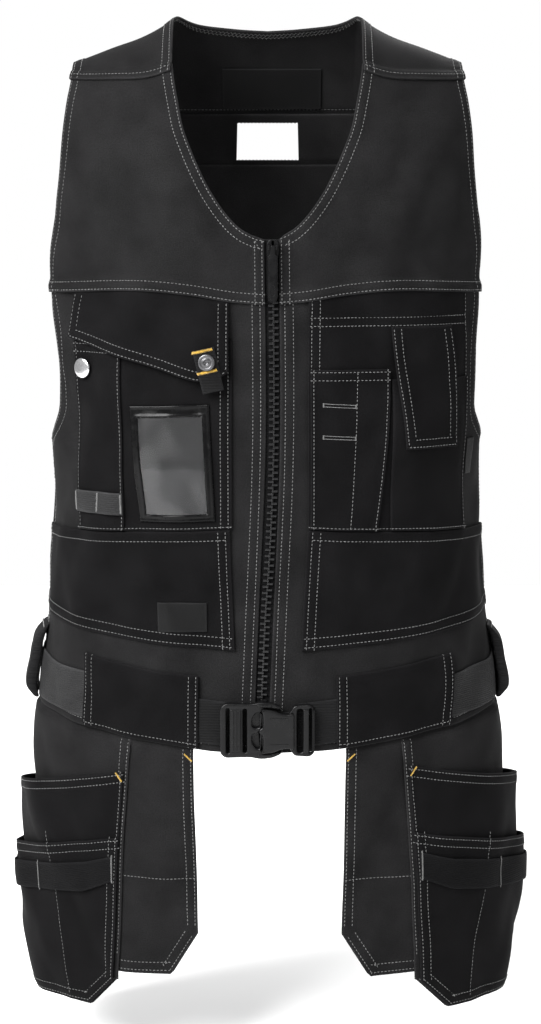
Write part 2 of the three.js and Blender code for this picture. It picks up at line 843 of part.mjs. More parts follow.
// Shoulder straps and back yoke in one piece, on a grid of x and climb.
function addYoke() {
  const strapShares = evenRows(4);
  const neckShares = [0.95, 0.85, 0.65, 0.35, 0];
  const columns = [
    ...strapShares.map((share) => ({ way: -1, strap: share })),
    ...neckShares.map((share) => ({ way: -1, neck: share })),
    ...neckShares.slice(0, -1).reverse().map((share) => ({ way: 1, neck: share })),
    ...strapShares.slice().reverse().map((share) => ({ way: 1, strap: share })),
  ];
  const strapRows = 5;
  const backRows = 5;
  const seamShift = seamGap / chestSeamDrop;
  const backSeam = (x) => climbOfHeight(x, -backYokeDrop + seamGap / 2, true);
  const frontSeam = (x) => climbOfHeight(x, shoulderSeamHeight(x), false) + seamShift;
  const xAt = (column, height) => {
    if (column.strap === undefined) {
      return column.way * column.neck * neckHalfWidth;
    }
    return column.way * blend(armholeX(height), neckHalfWidth, column.strap);
  };
  const spotAt = (columnNumber, row) => {
    const column = columns[columnNumber];
    let x = xAt(column, 0);
    let climb = 1;
    for (let round = 0; round < 6; round += 1) {
      const neck = readTable(backNeckRows, 'across', 'climb', Math.abs(x) / neckHalfWidth);
      const ridge = column.strap === undefined ? neck : 1;
      climb = row < strapRows
        ? blend(frontSeam(x), 1, row / strapRows)
        : blend(ridge, backSeam(x), (row - strapRows) / backRows);
      x = xAt(column, shoulderPlace(x, climb).z);
    }
    return { x, climb };
  };
  const neckStart = strapShares.length - 1;
  const neckEnd = columns.length - strapShares.length;
  const geometry = gridWall(
    columns.length,
    strapRows + backRows + 1,
    (column, row) => {
      const { x, climb } = spotAt(column, row);
      return shoulderFrame(x, climb);
    },
    () => [0, clothWall],
    (column, row) => row >= strapRows || column < neckStart || column >= neckEnd,
  );
  addMesh('yoke', geometry, canvas);
}

function addNeckLabel() {
  const columnCount = 6;
  const rowCount = 4;
  const gap = 0.3;
  const geometry = gridWall(
    columnCount,
    rowCount,
    (column, row) => {
      const x = neckLabelOffset + neckLabelWidth * (column / (columnCount - 1) - 0.5);
      const height = -neckLabelDrop - neckLabelHeight * row / (rowCount - 1);
      return shoulderFrame(x, climbOfHeight(x, height, true));
    },
    () => [-clearance - gap - labelWall, -clearance - gap],
    () => true,
  );
  addMesh('neck_label', geometry, labelCloth);
}

// Zip
function addZipTape(name, side) {
  const edge = (height) => side * zipLine(height) + chainWidth / 2 + clearance;
  clothPatch(`zip_tape_${name}`, lining, {
    side,
    start: edge,
    end: (height) => edge(height) + tapeWidth,
    top: always(-neckDrop - 1),
    bottom: always(-zipEndDrop),
    rows: [0, 0.04, 0.08, 0.125, 0.25, 0.4, 0.55, 0.7, 0.85, 1],
    wall: 1,
    inner: always(-clearance - 1),
  });
}

function addZipChain() {
  const top = neckDrop + sliderLength + 2;
  const teeth = Math.round((zipEndDrop - top) / toothPitch);
  const pitch = (zipEndDrop - top) / teeth;
  const rowCount = 2 * teeth + 1;
  const ridge = 0.7;
  const geometry = gridWall(
    2,
    rowCount,
    (column, row) => {
      const height = -top - pitch * row / 2;
      return bodyFrame(zipLine(height) + (column - 0.5) * chainWidth, height);
    },
    (column, row) => {
      const raised = (row + column) % 2 === 1;
      return [0, chainThickness + (raised ? ridge : 0)];
    },
    () => true,
  );
  addMesh('zip_chain', geometry, blackPlastic);
}

function toSolid(geometry) {
  const plain = geometry.clone();
  plain.deleteAttribute('normal');
  plain.deleteAttribute('uv');
  const merged = mergeVertices(plain, 1e-4);
  return new wasm.Manifold(new wasm.Mesh({
    numProp: 3,
    vertProperties: new Float32Array(merged.attributes.position.array),
    triVerts: new Uint32Array(merged.index.array),
  }));
}

function toGeometry(solid) {
  const mesh = solid.getMesh();
  const geometry = new THREE.BufferGeometry();
  geometry.setAttribute('position', new THREE.BufferAttribute(new Float32Array(mesh.vertProperties), 3));
  geometry.setIndex(new THREE.BufferAttribute(new Uint32Array(mesh.triVerts), 1));
  geometry.computeVertexNormals();
  return geometry;
}

function boxAt(low, high) {
  const size = high.map((value, axis) => value - low[axis]);
  const geometry = new THREE.BoxGeometry(...size);
  return geometry.translate(...size.map((value, axis) => low[axis] + value / 2));
}

function outlineShape(points) {
  return new THREE.Shape(points.map(([x, z]) => new THREE.Vector2(x, z)));
}

function rectanglePath(left, right, bottom, top) {
  return new THREE.Path([
    new THREE.Vector2(left, bottom),
    new THREE.Vector2(left, top),
    new THREE.Vector2(right, top),
    new THREE.Vector2(right, bottom),
  ]);
}

// A plate drawn in x and z, standing forward from y = 0 by its thickness.
function frontPlate(shape, thickness) {
  const geometry = new THREE.ExtrudeGeometry(shape, { depth: thickness, bevelEnabled: false, curveSegments: 6 });
  return geometry.rotateX(Math.PI / 2);
}

function crossBar(radius, length, y, z) {
  const geometry = new THREE.CylinderGeometry(radius, radius, length, 10);
  return geometry.rotateZ(Math.PI / 2).translate(0, y, z);
}

const hingeDrop = neckDrop + 8;
const hingeReach = sliderThickness + hingeBarrelRadius + clearance;

// The slider's own frame has its origin on the hinge line's foot, on the cloth's inner face.
function addSlider() {
  const { place } = bodyFrame(zipLine(-hingeDrop), -hingeDrop);
  const half = sliderWidth / 2;
  const above = hingeDrop - neckDrop - 1;
  const below = sliderLength - above;
  const body = outlineShape([
    [-half * 0.75, -below], [half * 0.75, -below], [half, -below * 0.4],
    [half, above * 0.4], [half * 0.6, above], [-half * 0.6, above],
    [-half, above * 0.4], [-half, -below * 0.4],
  ]);
  const lugInner = hingeBarrelLength / 2 + clearance;
  const lugOuter = half * 0.8;
  const lugs = [-1, 1].map((way) => {
    const low = Math.min(way * lugInner, way * lugOuter);
    const high = Math.max(way * lugInner, way * lugOuter);
    return boxAt(
      [low, -hingeReach - hingeBarrelRadius * 0.7, -hingeBarrelRadius * 0.8],
      [high, -sliderThickness + 0.5, hingeBarrelRadius * 0.8],
    );
  });
  const pin = crossBar(hingePinRadius, 2 * lugOuter - 0.4, -hingeReach, 0);
  const solid = [...lugs, pin].reduce(
    (sum, geometry) => sum.add(toSolid(geometry)),
    toSolid(frontPlate(body, sliderThickness)),
  );
  const slider = addMesh('zip_slider', toGeometry(solid), blackPlastic);
  slider.position.copy(place);
  slider.position.y -= sliderLift;
}

function addPull() {
  const { place } = bodyFrame(zipLine(-hingeDrop), -hingeDrop);
  const half = pullWidth / 2;
  const shoulder = hingeBarrelRadius + clearance;
  const neckHalf = hingeBarrelLength / 2;
  const tab = outlineShape([
    [-neckHalf, 0], [-neckHalf, -shoulder * 2], [-half, -shoulder * 2.6], [-half, -pullLength + 4],
    [-half * 0.6, -pullLength], [half * 0.6, -pullLength], [half, -pullLength + 4],
    [half, -shoulder * 2.6], [neckHalf, -shoulder * 2], [neckHalf, 0],
  ]);
  const plate = frontPlate(tab, pullThickness).translate(0, pullThickness / 2, 0);
  const barrel = crossBar(hingeBarrelRadius, hingeBarrelLength, 0, 0);
  const bore = crossBar(hingePinRadius + clearance / 2, hingeBarrelLength + 2, 0, 0);
  const solid = toSolid(plate).add(toSolid(barrel)).subtract(toSolid(bore));
  const pull = addMesh('zip_pull', toGeometry(solid), blackPlastic);
  pull.position.copy(place);
  pull.position.y -= hingeReach + sliderLift;
}

// Left chest
const chestPocket = {
  side: -1,
  start: always(chestPocketInset),
  end: always(chestPocketInset + chestPocketWidth),
  top: always(-flapOuterDrop - chestPocketBelowFlap),
  bottom: (arc) => pocketSplitHeight(arc) + seamGap / 2,
  swell: chestPocketSwell,
};

const flap = {
  side: -1,
  start: always(flapInset),
  end: (height) => flapInset + flapWidth + flapEndSlant * (-height - chestSeamDrop),
  top: (arc) => chestSeamHeight(arc) - 3 * seamGap,
  bottom: (arc) => {
    const share = readTable(flapRows, 'across', 'drop', (arc - flapInset) / flapWidth);
    return -blend(flapOuterDrop, flapDrop, share);
  },
};

function flapInner(arc, height) {
  const down = limited((flap.top(arc) - height) / (flap.top(arc) + flapDrop));
  return lift(0) + flapLift * down;
}

function addLeftChest() {
  clothPatch('chest_pocket_left', heavyCanvas, {
    ...chestPocket,
    rows: evenRows(6),
    wall: pocketWall,
    inner: ({ arc, height }) => lift(0) + swellAt(chestPocket, arc, height),
  });
  const penPocket = {
    side: -1,
    start: always(penPocketInset),
    end: chestPocket.end,
    top: always(-flapOuterDrop - penPocketBelowFlap),
    bottom: (arc) => pocketSplitHeight(arc) + seamGap,
  };
  const penInner = (arc, height) => lift(1) + swellAt(chestPocket, arc, height);
  clothPatch('pen_pocket_left', heavyCanvas, {
    ...penPocket,
    rows: evenRows(6),
    wall: pocketWall,
    inner: ({ arc, height }) => penInner(arc, height),
  });
  clothPatch('pen_loops_left', webbing, {
    ...penPocket,
    top: always(-penLoopDrop),
    bottom: always(-penLoopDrop - penLoopHeight),
    rows: [0, 1],
    wall: pocketWall,
    inner: ({ arc, height }) => penInner(arc, height) + pocketWall + clearance + 0.2,
  });
  clothPatch('flap_left', heavyCanvas, {
    ...flap,
    rows: evenRows(4),
    wall: pocketWall,
    inner: ({ arc, height }) => flapInner(arc, height),
  });
  addFlapStrap();
  addIdWindow();
}

function addFlapStrap() {
  const slant = (height) => -strapSlant * (-height - strapDrop) / strapLength;
  const rise = (arc) => -strapSlant * (arc - strapInset) / strapLength;
  const strapInner = (arc, height) => flapInner(arc, height) + pocketWall + clearance;
  clothPatch('flap_strap', webbing, {
    side: -1,
    start: (height) => strapInset + slant(height),
    end: (height) => strapInset + strapWidth + slant(height),
    top: (arc) => -strapDrop + rise(arc),
    bottom: (arc) => -strapDrop - strapLength + rise(arc),
    rows: evenRows(4),
    wall: webbingWall,
    inner: ({ arc, height }) => strapInner(arc, height),
  });
  const snapArc = strapInset + strapWidth / 2 + slant(-snapDrop);
  const ring = new THREE.Shape();
  ring.absarc(0, 0, snapRadius, 0, 2 * Math.PI);
  ring.holes.push(new THREE.Path().absarc(0, 0, snapHoleRadius, 0, 2 * Math.PI));
  const geometry = new THREE.ExtrudeGeometry(ring, {
    depth: snapThickness, bevelEnabled: false, curveSegments: 8,
  });
  const snap = addMesh('snap', geometry, darkMetal);
  const offset = strapInner(snapArc, -snapDrop) + webbingWall + clearance;
  seat(snap, -snapArc, -snapDrop, offset);
}

// Puts a mesh whose base is its z = 0 plane on the body, facing outwards.
function seat(mesh, arc, height, offset) {
  const { place, normal } = bodyFrame(arc, height);
  mesh.quaternion.setFromUnitVectors(new THREE.Vector3(0, 0, 1), normal);
  mesh.position.copy(place).addScaledVector(normal, offset);
}

function addKnifeButton() {
  const drop = flapOuterDrop + buttonBelowFlap;
  const rim = buttonPostLength + buttonThickness * 0.4;
  const profile = [
    [0, 0], [buttonPostRadius, 0], [buttonPostRadius, buttonPostLength],
    [buttonRadius, buttonPostLength], [buttonRadius, rim],
    [buttonFlatRadius, buttonPostLength + buttonThickness], [0, buttonPostLength + buttonThickness],
  ].map(([radius, height]) => new THREE.Vector2(radius, height));
  const geometry = new THREE.LatheGeometry(profile, 16).rotateX(Math.PI / 2);
  const button = addMesh('knife_button', geometry, steel);
  const offset = lift(2) - clearance + swellAt(chestPocket, buttonArc, -drop) - facetSink;
  seat(button, -buttonArc, -drop, offset);
}

function addIdWindow() {
  const slant = (height) => -idFrameSlant * (-height - idFrameDrop) / idFrameHeight;
  const start = (height) => idFrameInset + slant(height);
  const end = (height) => start(height) + idFrameWidth + 0.4 * slant(height);
  const top = (arc) => -idFrameDrop - 0.04 * (arc - idFrameInset);
  const bottom = (arc) => top(arc) - idFrameHeight;
  const innerStart = (height) => start(height) + idFrameBorder;
  const innerEnd = (height) => end(height) - idFrameBorder;
  const paneTop = idFrameHeader / idFrameHeight;
  const paneBottom = 1 - idFrameBorder / idFrameHeight;
  const inner = ({ arc, height }) => lift(1) + swellAt(chestPocket, arc, height);
  const heights = evenRows(4).map((share) => blend(top(idFrameInset), bottom(idFrameInset), share));
  const columns = columnsBetween(start, end, [innerStart, innerEnd], heights);
  const first = columns.indexOf(innerStart);
  const last = columns.indexOf(innerEnd);
  const paneRows = evenRows(3).map((share) => blend(paneTop, paneBottom, share));
  clothPatch('id_frame', heavyCanvas, {
    side: -1,
    start,
    end,
    top,
    bottom,
    rows: [0, ...paneRows, 1],
    extra: [innerStart, innerEnd],
    keep: (column, row) => column < first || column >= last || row === 0 || row > 3,
    wall: pocketWall,
    inner,
  });
  const trim = clearance;
  const trimShare = trim / idFrameHeight;
  clothPatch('id_pane', clearPlastic, {
    side: -1,
    start: (height) => innerStart(height) + trim,
    end: (height) => innerEnd(height) - trim,
    top: (arc) => blend(top(arc), bottom(arc), paneTop + trimShare),
    bottom: (arc) => blend(top(arc), bottom(arc), paneBottom - trimShare),
    rows: evenRows(3),
    wall: idPaneWall,
    inner,
  });
}

// Lower pockets, which run on to the side seam
function addLowerPocket(name, side) {
  const pocket = {
    side,
    start: always(lowerPocketInset),
    end: (height) => sideArc(height) - 3,
    top: (arc) => pocketSplitHeight(arc) - seamGap / 2,
    bottom: (arc) => -lowerPocketDrop + lowerPocketLift * (arc / sideArc(-lowerPocketDrop)) ** 1.4,
    swell: lowerPocketSwell,
  };
  clothPatch(`lower_pocket_${name}`, heavyCanvas, {
    ...pocket,
    rows: evenRows(4),
    wall: pocketWall,
    inner: ({ arc, height }) => lift(0) + swellAt(pocket, arc, height),
  });
  return pocket;
}

function addPocketLabel(pocket) {
  clothPatch('pocket_label', labelCloth, {
    side: -1,
    start: always(labelInset),
    end: always(labelInset + labelWidth),
    top: always(-labelDrop),
    bottom: always(-labelDrop - labelHeight),
    rows: [0, 1],
    wall: labelWall,
    inner: ({ arc, height }) => lift(1) + swellAt(pocket, arc, height),
  });
}

// Right chest
function addRightChest() {
  const mapPocket = {
    start: always(mapPocketInset),
    end: always(mapPocketInset + mapPocketWidth),
    top: (arc) => chestSeamHeight(arc) - 4 * seamGap,
    bottom: (arc) => pocketSplitHeight(arc) + seamGap / 2,
    swell: 1,
  };
  clothPatch('map_pocket', heavyCanvas, {
    ...mapPocket,
    rows: evenRows(6),
    wall: pocketWall,
    inner: ({ arc, height }) => lift(0) + swellAt(mapPocket, arc, height),
  });
  clothPatch('pen_pocket_right', heavyCanvas, {
    start: always(penPocketRightInset),
    end: always(phonePocketInset - 2),
    top: always(-penPocketRightDrop),
    bottom: (arc) => pocketSplitHeight(arc) + seamGap,
    rows: evenRows(4),
    wall: pocketWall,
    inner: ({ arc, height }) => lift(1) + swellAt(mapPocket, arc, height),
  });
  const phonePocket = {
    start: always(phonePocketInset),
    end: mapPocket.end,
    top: always(-phoneFlapDrop - phonePocketBelowFlap),
    bottom: (arc) => pocketSplitHeight(arc) + seamGap,
    swell: phonePocketSwell,
  };
  const phoneInner = (arc, height) => lift(1) + swellAt(mapPocket, arc, height)
    + swellAt(phonePocket, arc, height);
  clothPatch('phone_pocket', heavyCanvas, {
    ...phonePocket,
    rows: evenRows(5),
    wall: pocketWall,
    inner: ({ arc, height }) => phoneInner(arc, height),
  });
  const slant = (height) => phoneFlapSlant * (-height - phoneFlapDrop) / phoneFlapHeight;
  clothPatch('phone_flap', heavyCanvas, {
    start: (height) => phoneFlapInset + 1.1 * slant(height),
    end: (height) => phoneFlapInset + phoneFlapWidth + 0.7 * slant(height),
    top: always(-phoneFlapDrop),
    bottom: always(-phoneFlapDrop - phoneFlapHeight),
    rows: [0, 0.12, 0.36, 0.6, 0.8, 1],
    wall: pocketWall,
    inner: ({ arc, height, down }) => {
      const raised = limited(down / 0.36);
      return phoneInner(arc, height) + (pocketWall + 2 * clearance) * raised;
    },
  });
  clothPatch('side_tab', labelCloth, {
    start: always(sideTabArc),
    end: always(sideTabArc + sideTabWidth),
    top: always(-sideTabDrop),
    bottom: always(-sideTabDrop - sideTabHeight),
    rows: [0, 1],
    wall: labelWall,
    inner: always(lift(0)),
  });
}

// Belt
function beltPatch(name, material, start, end, side) {
  clothPatch(name, material, {
    side,
    start,
    end,
    top: (arc) => beltMiddle(arc) + beltHeight / 2,
    bottom: (arc) => beltMiddle(arc) - beltHeight / 2,
    rows: [0, 1],
    wall: webbingWall,
    inner: always(clothWall + clearance),
  });
}

function addBelt() {
  const joinEnd = (height) => 2 * halfArc(height) - beltJoinArc - seamGap;
  beltPatch('waist_elastic', webbing, always(beltJoinArc + seamGap), joinEnd, 1);
  for (const [name, side] of [['left', -1], ['right', 1]]) {
    beltPatch(`belt_web_${name}`, webbing, always(webbingEndArc), always(beltJoinArc), side);
    const standOff = webbingWall + clearance;
    clothPatch(`tunnel_${name}`, heavyCanvas, {
      side,
      start: always(tunnelInset),
      end: always(tunnelInset + tunnelWidth),
      top: (arc) => beltMiddle(arc) + tunnelRise,
      bottom: (arc) => hemHeight(arc) + 1,
      rows: [0, 0.12, 0.24, 0.5, 0.76, 0.93, 1],
      wall: pocketWall,
      inner: ({ down }) => lift(0) + standOff * limited(Math.min(down / 0.24, (1 - down) / 0.07)),
    });
    const middle = sideArc(-sideLoopDrop);
    clothPatch(`side_loop_${name}`, webbing, {
      side,
      start: always(middle - sideLoopWidth / 2),
      end: always(middle + sideLoopWidth / 2),
      top: always(-sideLoopDrop),
      bottom: always(-sideLoopDrop - sideLoopLength),
      rows: sideLoopRows.map((row) => row.down),
      wall: webbingWall,
      inner: ({ down }) => {
        const off = readTable(sideLoopRows, 'down', 'off', down);
        return lift(0) + sideLoopStandOff * off;
      },
    });
  }
}

function addBuckle() {
  const { place } = bodyFrame(0, -buckleDrop);
  const back = clothWall + webbingWall + 3 * clearance;
  const joint = buckleJoint;
  const femaleEnd = joint + buckleBodyLength;
  const male = outlineShape([
    [-buckleHalfLength, -buckleHalfHeight], [joint - armRoot, -buckleHalfHeight],
    [joint - armStep, -armHalfHeight], [armReach, -armHalfHeight + armTaper],
    [armReach, -buckleBodyHalfHeight - armGap], [joint - clearance, -buckleBodyHalfHeight - armGap],
    [joint - clearance, buckleBodyHalfHeight + armGap], [armReach, buckleBodyHalfHeight + armGap],
    [armReach, armHalfHeight - armTaper], [joint - armStep, armHalfHeight],
    [joint - armRoot, buckleHalfHeight], [-buckleHalfLength, buckleHalfHeight],
  ]);
  const outerSlot = -buckleHalfLength + outerBarReach;
  const innerSlot = outerSlot + outerSlotWidth + barWidth;
  male.holes.push(rectanglePath(outerSlot, outerSlot + outerSlotWidth, -slotHalfHeight, slotHalfHeight));
  male.holes.push(rectanglePath(innerSlot, innerSlot + innerSlotWidth, -innerSlotHalfHeight, innerSlotHalfHeight));
  for (const way of [-1, 1]) {
    const low = way > 0 ? buckleWindowApart : -buckleWindowApart - buckleWindowHeight;
    const right = joint - buckleWindowInset;
    male.holes.push(rectanglePath(right - buckleWindowWidth, right, low, low + buckleWindowHeight));
  }
  const middle = buckleThickness / 2;
  const tongue = boxAt(
    [joint - tongueRoot, -middle - tongueThickness / 2, -tongueHalfHeight],
    [joint + tongueLength, -middle + tongueThickness / 2, tongueHalfHeight],
  );
  const maleSolid = toSolid(frontPlate(male, buckleThickness)).add(toSolid(tongue));
  const frame = outlineShape([
    [femaleEnd - armGap, -buckleBodyHalfHeight], [femaleEnd + armStep, -buckleHalfHeight],
    [buckleHalfLength, -buckleHalfHeight], [buckleHalfLength, buckleHalfHeight],
    [femaleEnd + armStep, buckleHalfHeight], [femaleEnd - armGap, buckleBodyHalfHeight],
  ]);
  const nearSlot = femaleEnd + buckleWindowInset;
  const farSlot = nearSlot + webbingGap + outerBarReach;
  frame.holes.push(rectanglePath(nearSlot, nearSlot + webbingGap, -innerSlotHalfHeight, innerSlotHalfHeight));
  frame.holes.push(rectanglePath(farSlot, farSlot + buckleWindowInset, -slotHalfHeight, slotHalfHeight));
  const body = boxAt(
    [joint, -buckleBodyThickness, -buckleBodyHalfHeight],
    [femaleEnd, 0, buckleBodyHalfHeight],
  );
  const cavity = boxAt(
    [joint - 1, -buckleBodyThickness + 2 * buckleWall, -buckleBodyHalfHeight + 2 * buckleWall],
    [femaleEnd - 2 * buckleWall, -buckleWall * 0.9, buckleBodyHalfHeight - 2 * buckleWall],
  );
  const femaleSolid = toSolid(frontPlate(frame, buckleThickness)).add(toSolid(body)).subtract(toSolid(cavity));
  for (const [name, solid] of [['buckle_male', maleSolid], ['buckle_female', femaleSolid]]) {
    const mesh = addMesh(name, toGeometry(solid), blackPlastic);
    mesh.position.copy(place);
    mesh.position.y -= back;
  }
}

// Holsters: a bag in front, and an outer panel round the side with two open pockets.
function addHolster(name, { side, shift, flare, lift: rimLift, bag }) {
  const swing = (height) => flare * limited((-height - hemDrop) / (holsterDrop - hemDrop));
  const top = (arc) => hemHeight(arc) - seamGap;
  const panelTop = hemDrop;
  const bagStart = (height) => holsterBagInset + bag
    - holsterBagTaper * limited((-height - panelTop) / (holsterBagDrop - panelTop));
  clothPatch(`holster_bag_${name}`, canvas, {
    side,
    start: bagStart,
    end: always(holsterPanelInset + holsterOverlap),
    top,
    bottom: (arc) => {
      const cut = limited(1 - (arc - bagStart(-holsterBagDrop)) / holsterBagChamfer);
      return -holsterBagDrop + holsterBagChamferRise * cut;
    },
    rows: evenRows(5),
    extra: [always(holsterBagInset + bag - holsterBagTaper + holsterBagChamfer)],
    wall: clothWall,
    inner: ({ height }) => swing(height),
  });
  const panelStart = (height) => holsterPanelInset + shift
    + holsterPanelSlant * limited((-height - panelTop) / (holsterDrop - panelTop)) ** 0.7;
  const panelEnd = (height) => sideArc(height) + holsterWrap;
  const panelBottom = (arc) => {
    const cut = limited(1 - (arc - panelStart(-holsterDrop)) / holsterPanelChamfer);
    return -holsterDrop + holsterPanelChamfer * cut;
  };
  const panelOffset = clothWall + 2 * clearance;
  const panelLineEnd = holsterPanelInset + shift + holsterPanelSlant + holsterPanelChamfer;
  const panelLines = sharesTo(panelStart, panelLineEnd, 2);
  clothPatch(`holster_panel_${name}`, heavyCanvas, {
    side,
    start: panelStart,
    end: panelEnd,
    top,
    bottom: panelBottom,
    rows: evenRows(6),
    extra: panelLines,
    sharedFrom: panelLineEnd,
    wall: clothWall,
    inner: ({ height }) => panelOffset + swing(height),
  });
  const rim = (drop) => (arc) => -drop + rimLift - rimSlope * (arc - toolPocketInset) / rimSpan;
  const base = panelOffset + clothWall + clearance;
  const standOff = (across, down, amount) => {
    const open = Math.sin(Math.PI * across ** 2);
    return amount * open * Math.cos(Math.PI / 2 * down) ** 0.6;
  };
  const pocketStart = (height) => panelStart(height) + toolPocketMargin;
  const pocketEnd = (height) => panelEnd(height) - toolPocketMargin;
  clothPatch(`upper_tool_pocket_${name}`, heavyCanvas, {
    side,
    start: pocketStart,
    end: pocketEnd,
    top: rim(upperPocketDrop),
    bottom: (arc) => rim(upperPocketDrop)(arc) - upperPocketHeight,
    rows: evenRows(4),
    extra: panelLines,
    sharedFrom: panelLineEnd,
    wall: pocketWall,
    inner: ({ height, across, down }) => base + swing(height)
      + standOff(across, down * 0.75, upperPocketStandOff),
  });
  const lowerBottom = (arc) => panelBottom(arc) + 2;
  const lowerInner = (height, across, down) => base + pocketWall + clearance + swing(height)
    + standOff(across, down, lowerToolPocketStandOff);
  clothPatch(`lower_tool_pocket_${name}`, heavyCanvas, {
    side,
    start: pocketStart,
    end: pocketEnd,
    top: rim(lowerToolPocketDrop),
    bottom: lowerBottom,
    rows: evenRows(6),
    extra: panelLines,
    sharedFrom: panelLineEnd,
    wall: pocketWall,
    inner: ({ height, across, down }) => lowerInner(height, across, down),
  });
  const alongPocket = (share) => (arc) => blend(rim(lowerToolPocketDrop)(arc), lowerBottom(arc), share);
  clothPatch(`tool_loops_${name}`, webbing, {
    side,
    start: (height) => pocketStart(height) + toolLoopMargin,
    end: (height) => pocketEnd(height) - toolLoopMargin,
    top: alongPocket(toolLoopTopShare),
    bottom: alongPocket(toolLoopBottomShare),
    rows: [0, 0.5, 1],
    wall: pocketWall,
    inner: ({ arc, height }) => {
      const across = (arc - pocketStart(height)) / (pocketEnd(height) - pocketStart(height));
      const rimHeight = rim(lowerToolPocketDrop)(arc);
      const down = (rimHeight - height) / (rimHeight - lowerBottom(arc));
      return lowerInner(height, across, down) + pocketWall + clearance + 0.2;
    },
  });
}

addYoke();
addFrontPanels('left', -1);
addFrontPanels('right', 1);
addBackPanels();
addNeckLabel();
addZipTape('left', -1);
addZipTape('right', 1);
addZipChain();
addSlider();
addPull();
addLeftChest();
addKnifeButton();
addPocketLabel(addLowerPocket('left', -1));
addLowerPocket('right', 1);
addRightChest();
addBelt();
addBuckle();
for (const [name, options] of Object.entries(holsterSides)) {
  addHolster(name, options);
}

export default vest;
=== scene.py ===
"""Looks of the utility work vest: cloth, seams and thread, zip, buckle, metal parts and studio.

The maths is in millimetres, in the CAD's frame: +Z up, the front faces -Y, "left" is -X.
An arc is a length along the cloth from the front centre line, round the side to the back.
A height is a length up from the origin, which lies between the shoulder straps.
"""

import math

import bmesh
import bpy
import numpy as np
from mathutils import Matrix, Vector


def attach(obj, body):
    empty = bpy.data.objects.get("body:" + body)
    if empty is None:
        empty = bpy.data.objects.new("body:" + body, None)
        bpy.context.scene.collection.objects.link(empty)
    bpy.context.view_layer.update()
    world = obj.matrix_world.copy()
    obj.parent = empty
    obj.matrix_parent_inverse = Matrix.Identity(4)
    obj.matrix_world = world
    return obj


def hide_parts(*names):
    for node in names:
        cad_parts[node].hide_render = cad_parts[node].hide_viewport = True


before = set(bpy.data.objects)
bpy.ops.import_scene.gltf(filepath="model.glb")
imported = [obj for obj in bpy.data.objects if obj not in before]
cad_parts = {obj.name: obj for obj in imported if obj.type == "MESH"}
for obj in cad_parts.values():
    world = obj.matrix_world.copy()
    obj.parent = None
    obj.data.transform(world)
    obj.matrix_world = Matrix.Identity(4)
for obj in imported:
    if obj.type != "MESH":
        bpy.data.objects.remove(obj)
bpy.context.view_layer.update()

MM = 0.001

# Sizes that the CAD source names too
CLOTH_WALL = 1.6
POCKET_WALL = 1.5
WEBBING_WALL = 1.8
LABEL_WALL = 1.0
CLEARANCE = 0.4
SEAM_GAP = 0.5
HALF_WIDTH = 205.0
FRONT_DEPTH = 120.0
BACK_DEPTH = 110.0
SECTION_ROUNDNESS = 2.35
SHOULDER_ROUNDNESS = 2.3
RIDGE_RISE = 24.0
RIDGE_FALL = 43.0
SHOULDER_SEAM_DROP = 18.0
SHOULDER_SEAM_SLOPE = 13.0
CHEST_SEAM_DROP = 227.0
CHEST_SEAM_ARCH = 12.0
ARMHOLE_DROP = 360.0
NECK_DROP = 173.0
NECK_HALF_WIDTH = 85.0
BACK_YOKE_DROP = 62.0
VENT_BAND_HEIGHT = 48.0
VENT_WINDOW_WIDTH = 58.0
VENT_WINDOW_HEIGHT = 36.0
HEM_DROP = 635.0
HEM_LIFT = 28.0
FOLD_DEPTH = 2.4
ZIP_OPENING = 12.0
ZIP_SWING = 5.0
ZIP_END_DROP = 600.0
POCKET_SPLIT_DROP = 430.0
POCKET_SPLIT_SLOPE = 7.0
CHEST_POCKET_INSET = 31.0
CHEST_POCKET_WIDTH = 155.0
BELT_HEIGHT = 40.0
BELT_DROP = 612.0
BELT_LIFT = 40.0
BELT_JOIN_ARC = 164.0
HOLSTER_DROP = 880.0

# Sizes and heights that only this file names
SEAM_LAP = 5.25
LAP_RISE = 1.95
VENT_WINDOW_MIDDLE = -88.1
TAPE_TOP = -174.0
SLIDER_MIDDLE = -181.0
FIRST_TOOTH = -196.0
TOOTH_PITCH = 2.79
TOOTH_COUNT = 145
SNAP_MIDDLE = -282.0
BUTTON_ARC = 170.0
BUTTON_MIDDLE = -290.0
BAG_DROP = 843.0
SIDES = {"left": -1, "right": 1}

# Sections of the worn shape: drop as a share of HEM_DROP, then shares of the three sizes
SECTION_ROWS = np.array([
    # drop, width, front, back
    (-0.11, 1.0, 0.9, 0.87),
    (0.14, 1.0, 0.96, 0.945),
    (0.35, 0.99, 0.99, 1.0),
    (0.5, 0.966, 1.01, 1.02),
    (0.61, 0.949, 1.017, 1.0),
    (0.71, 0.966, 1.01, 0.964),
    (0.84, 0.998, 1.017, 0.955),
    (0.93, 1.02, 1.033, 0.973),
    (1.02, 1.049, 1.05, 1.009),
    (1.18, 1.06, 1.07, 1.04),
    (1.3, 1.05, 1.075, 1.05),
    (1.42, 1.025, 1.08, 1.05),
])
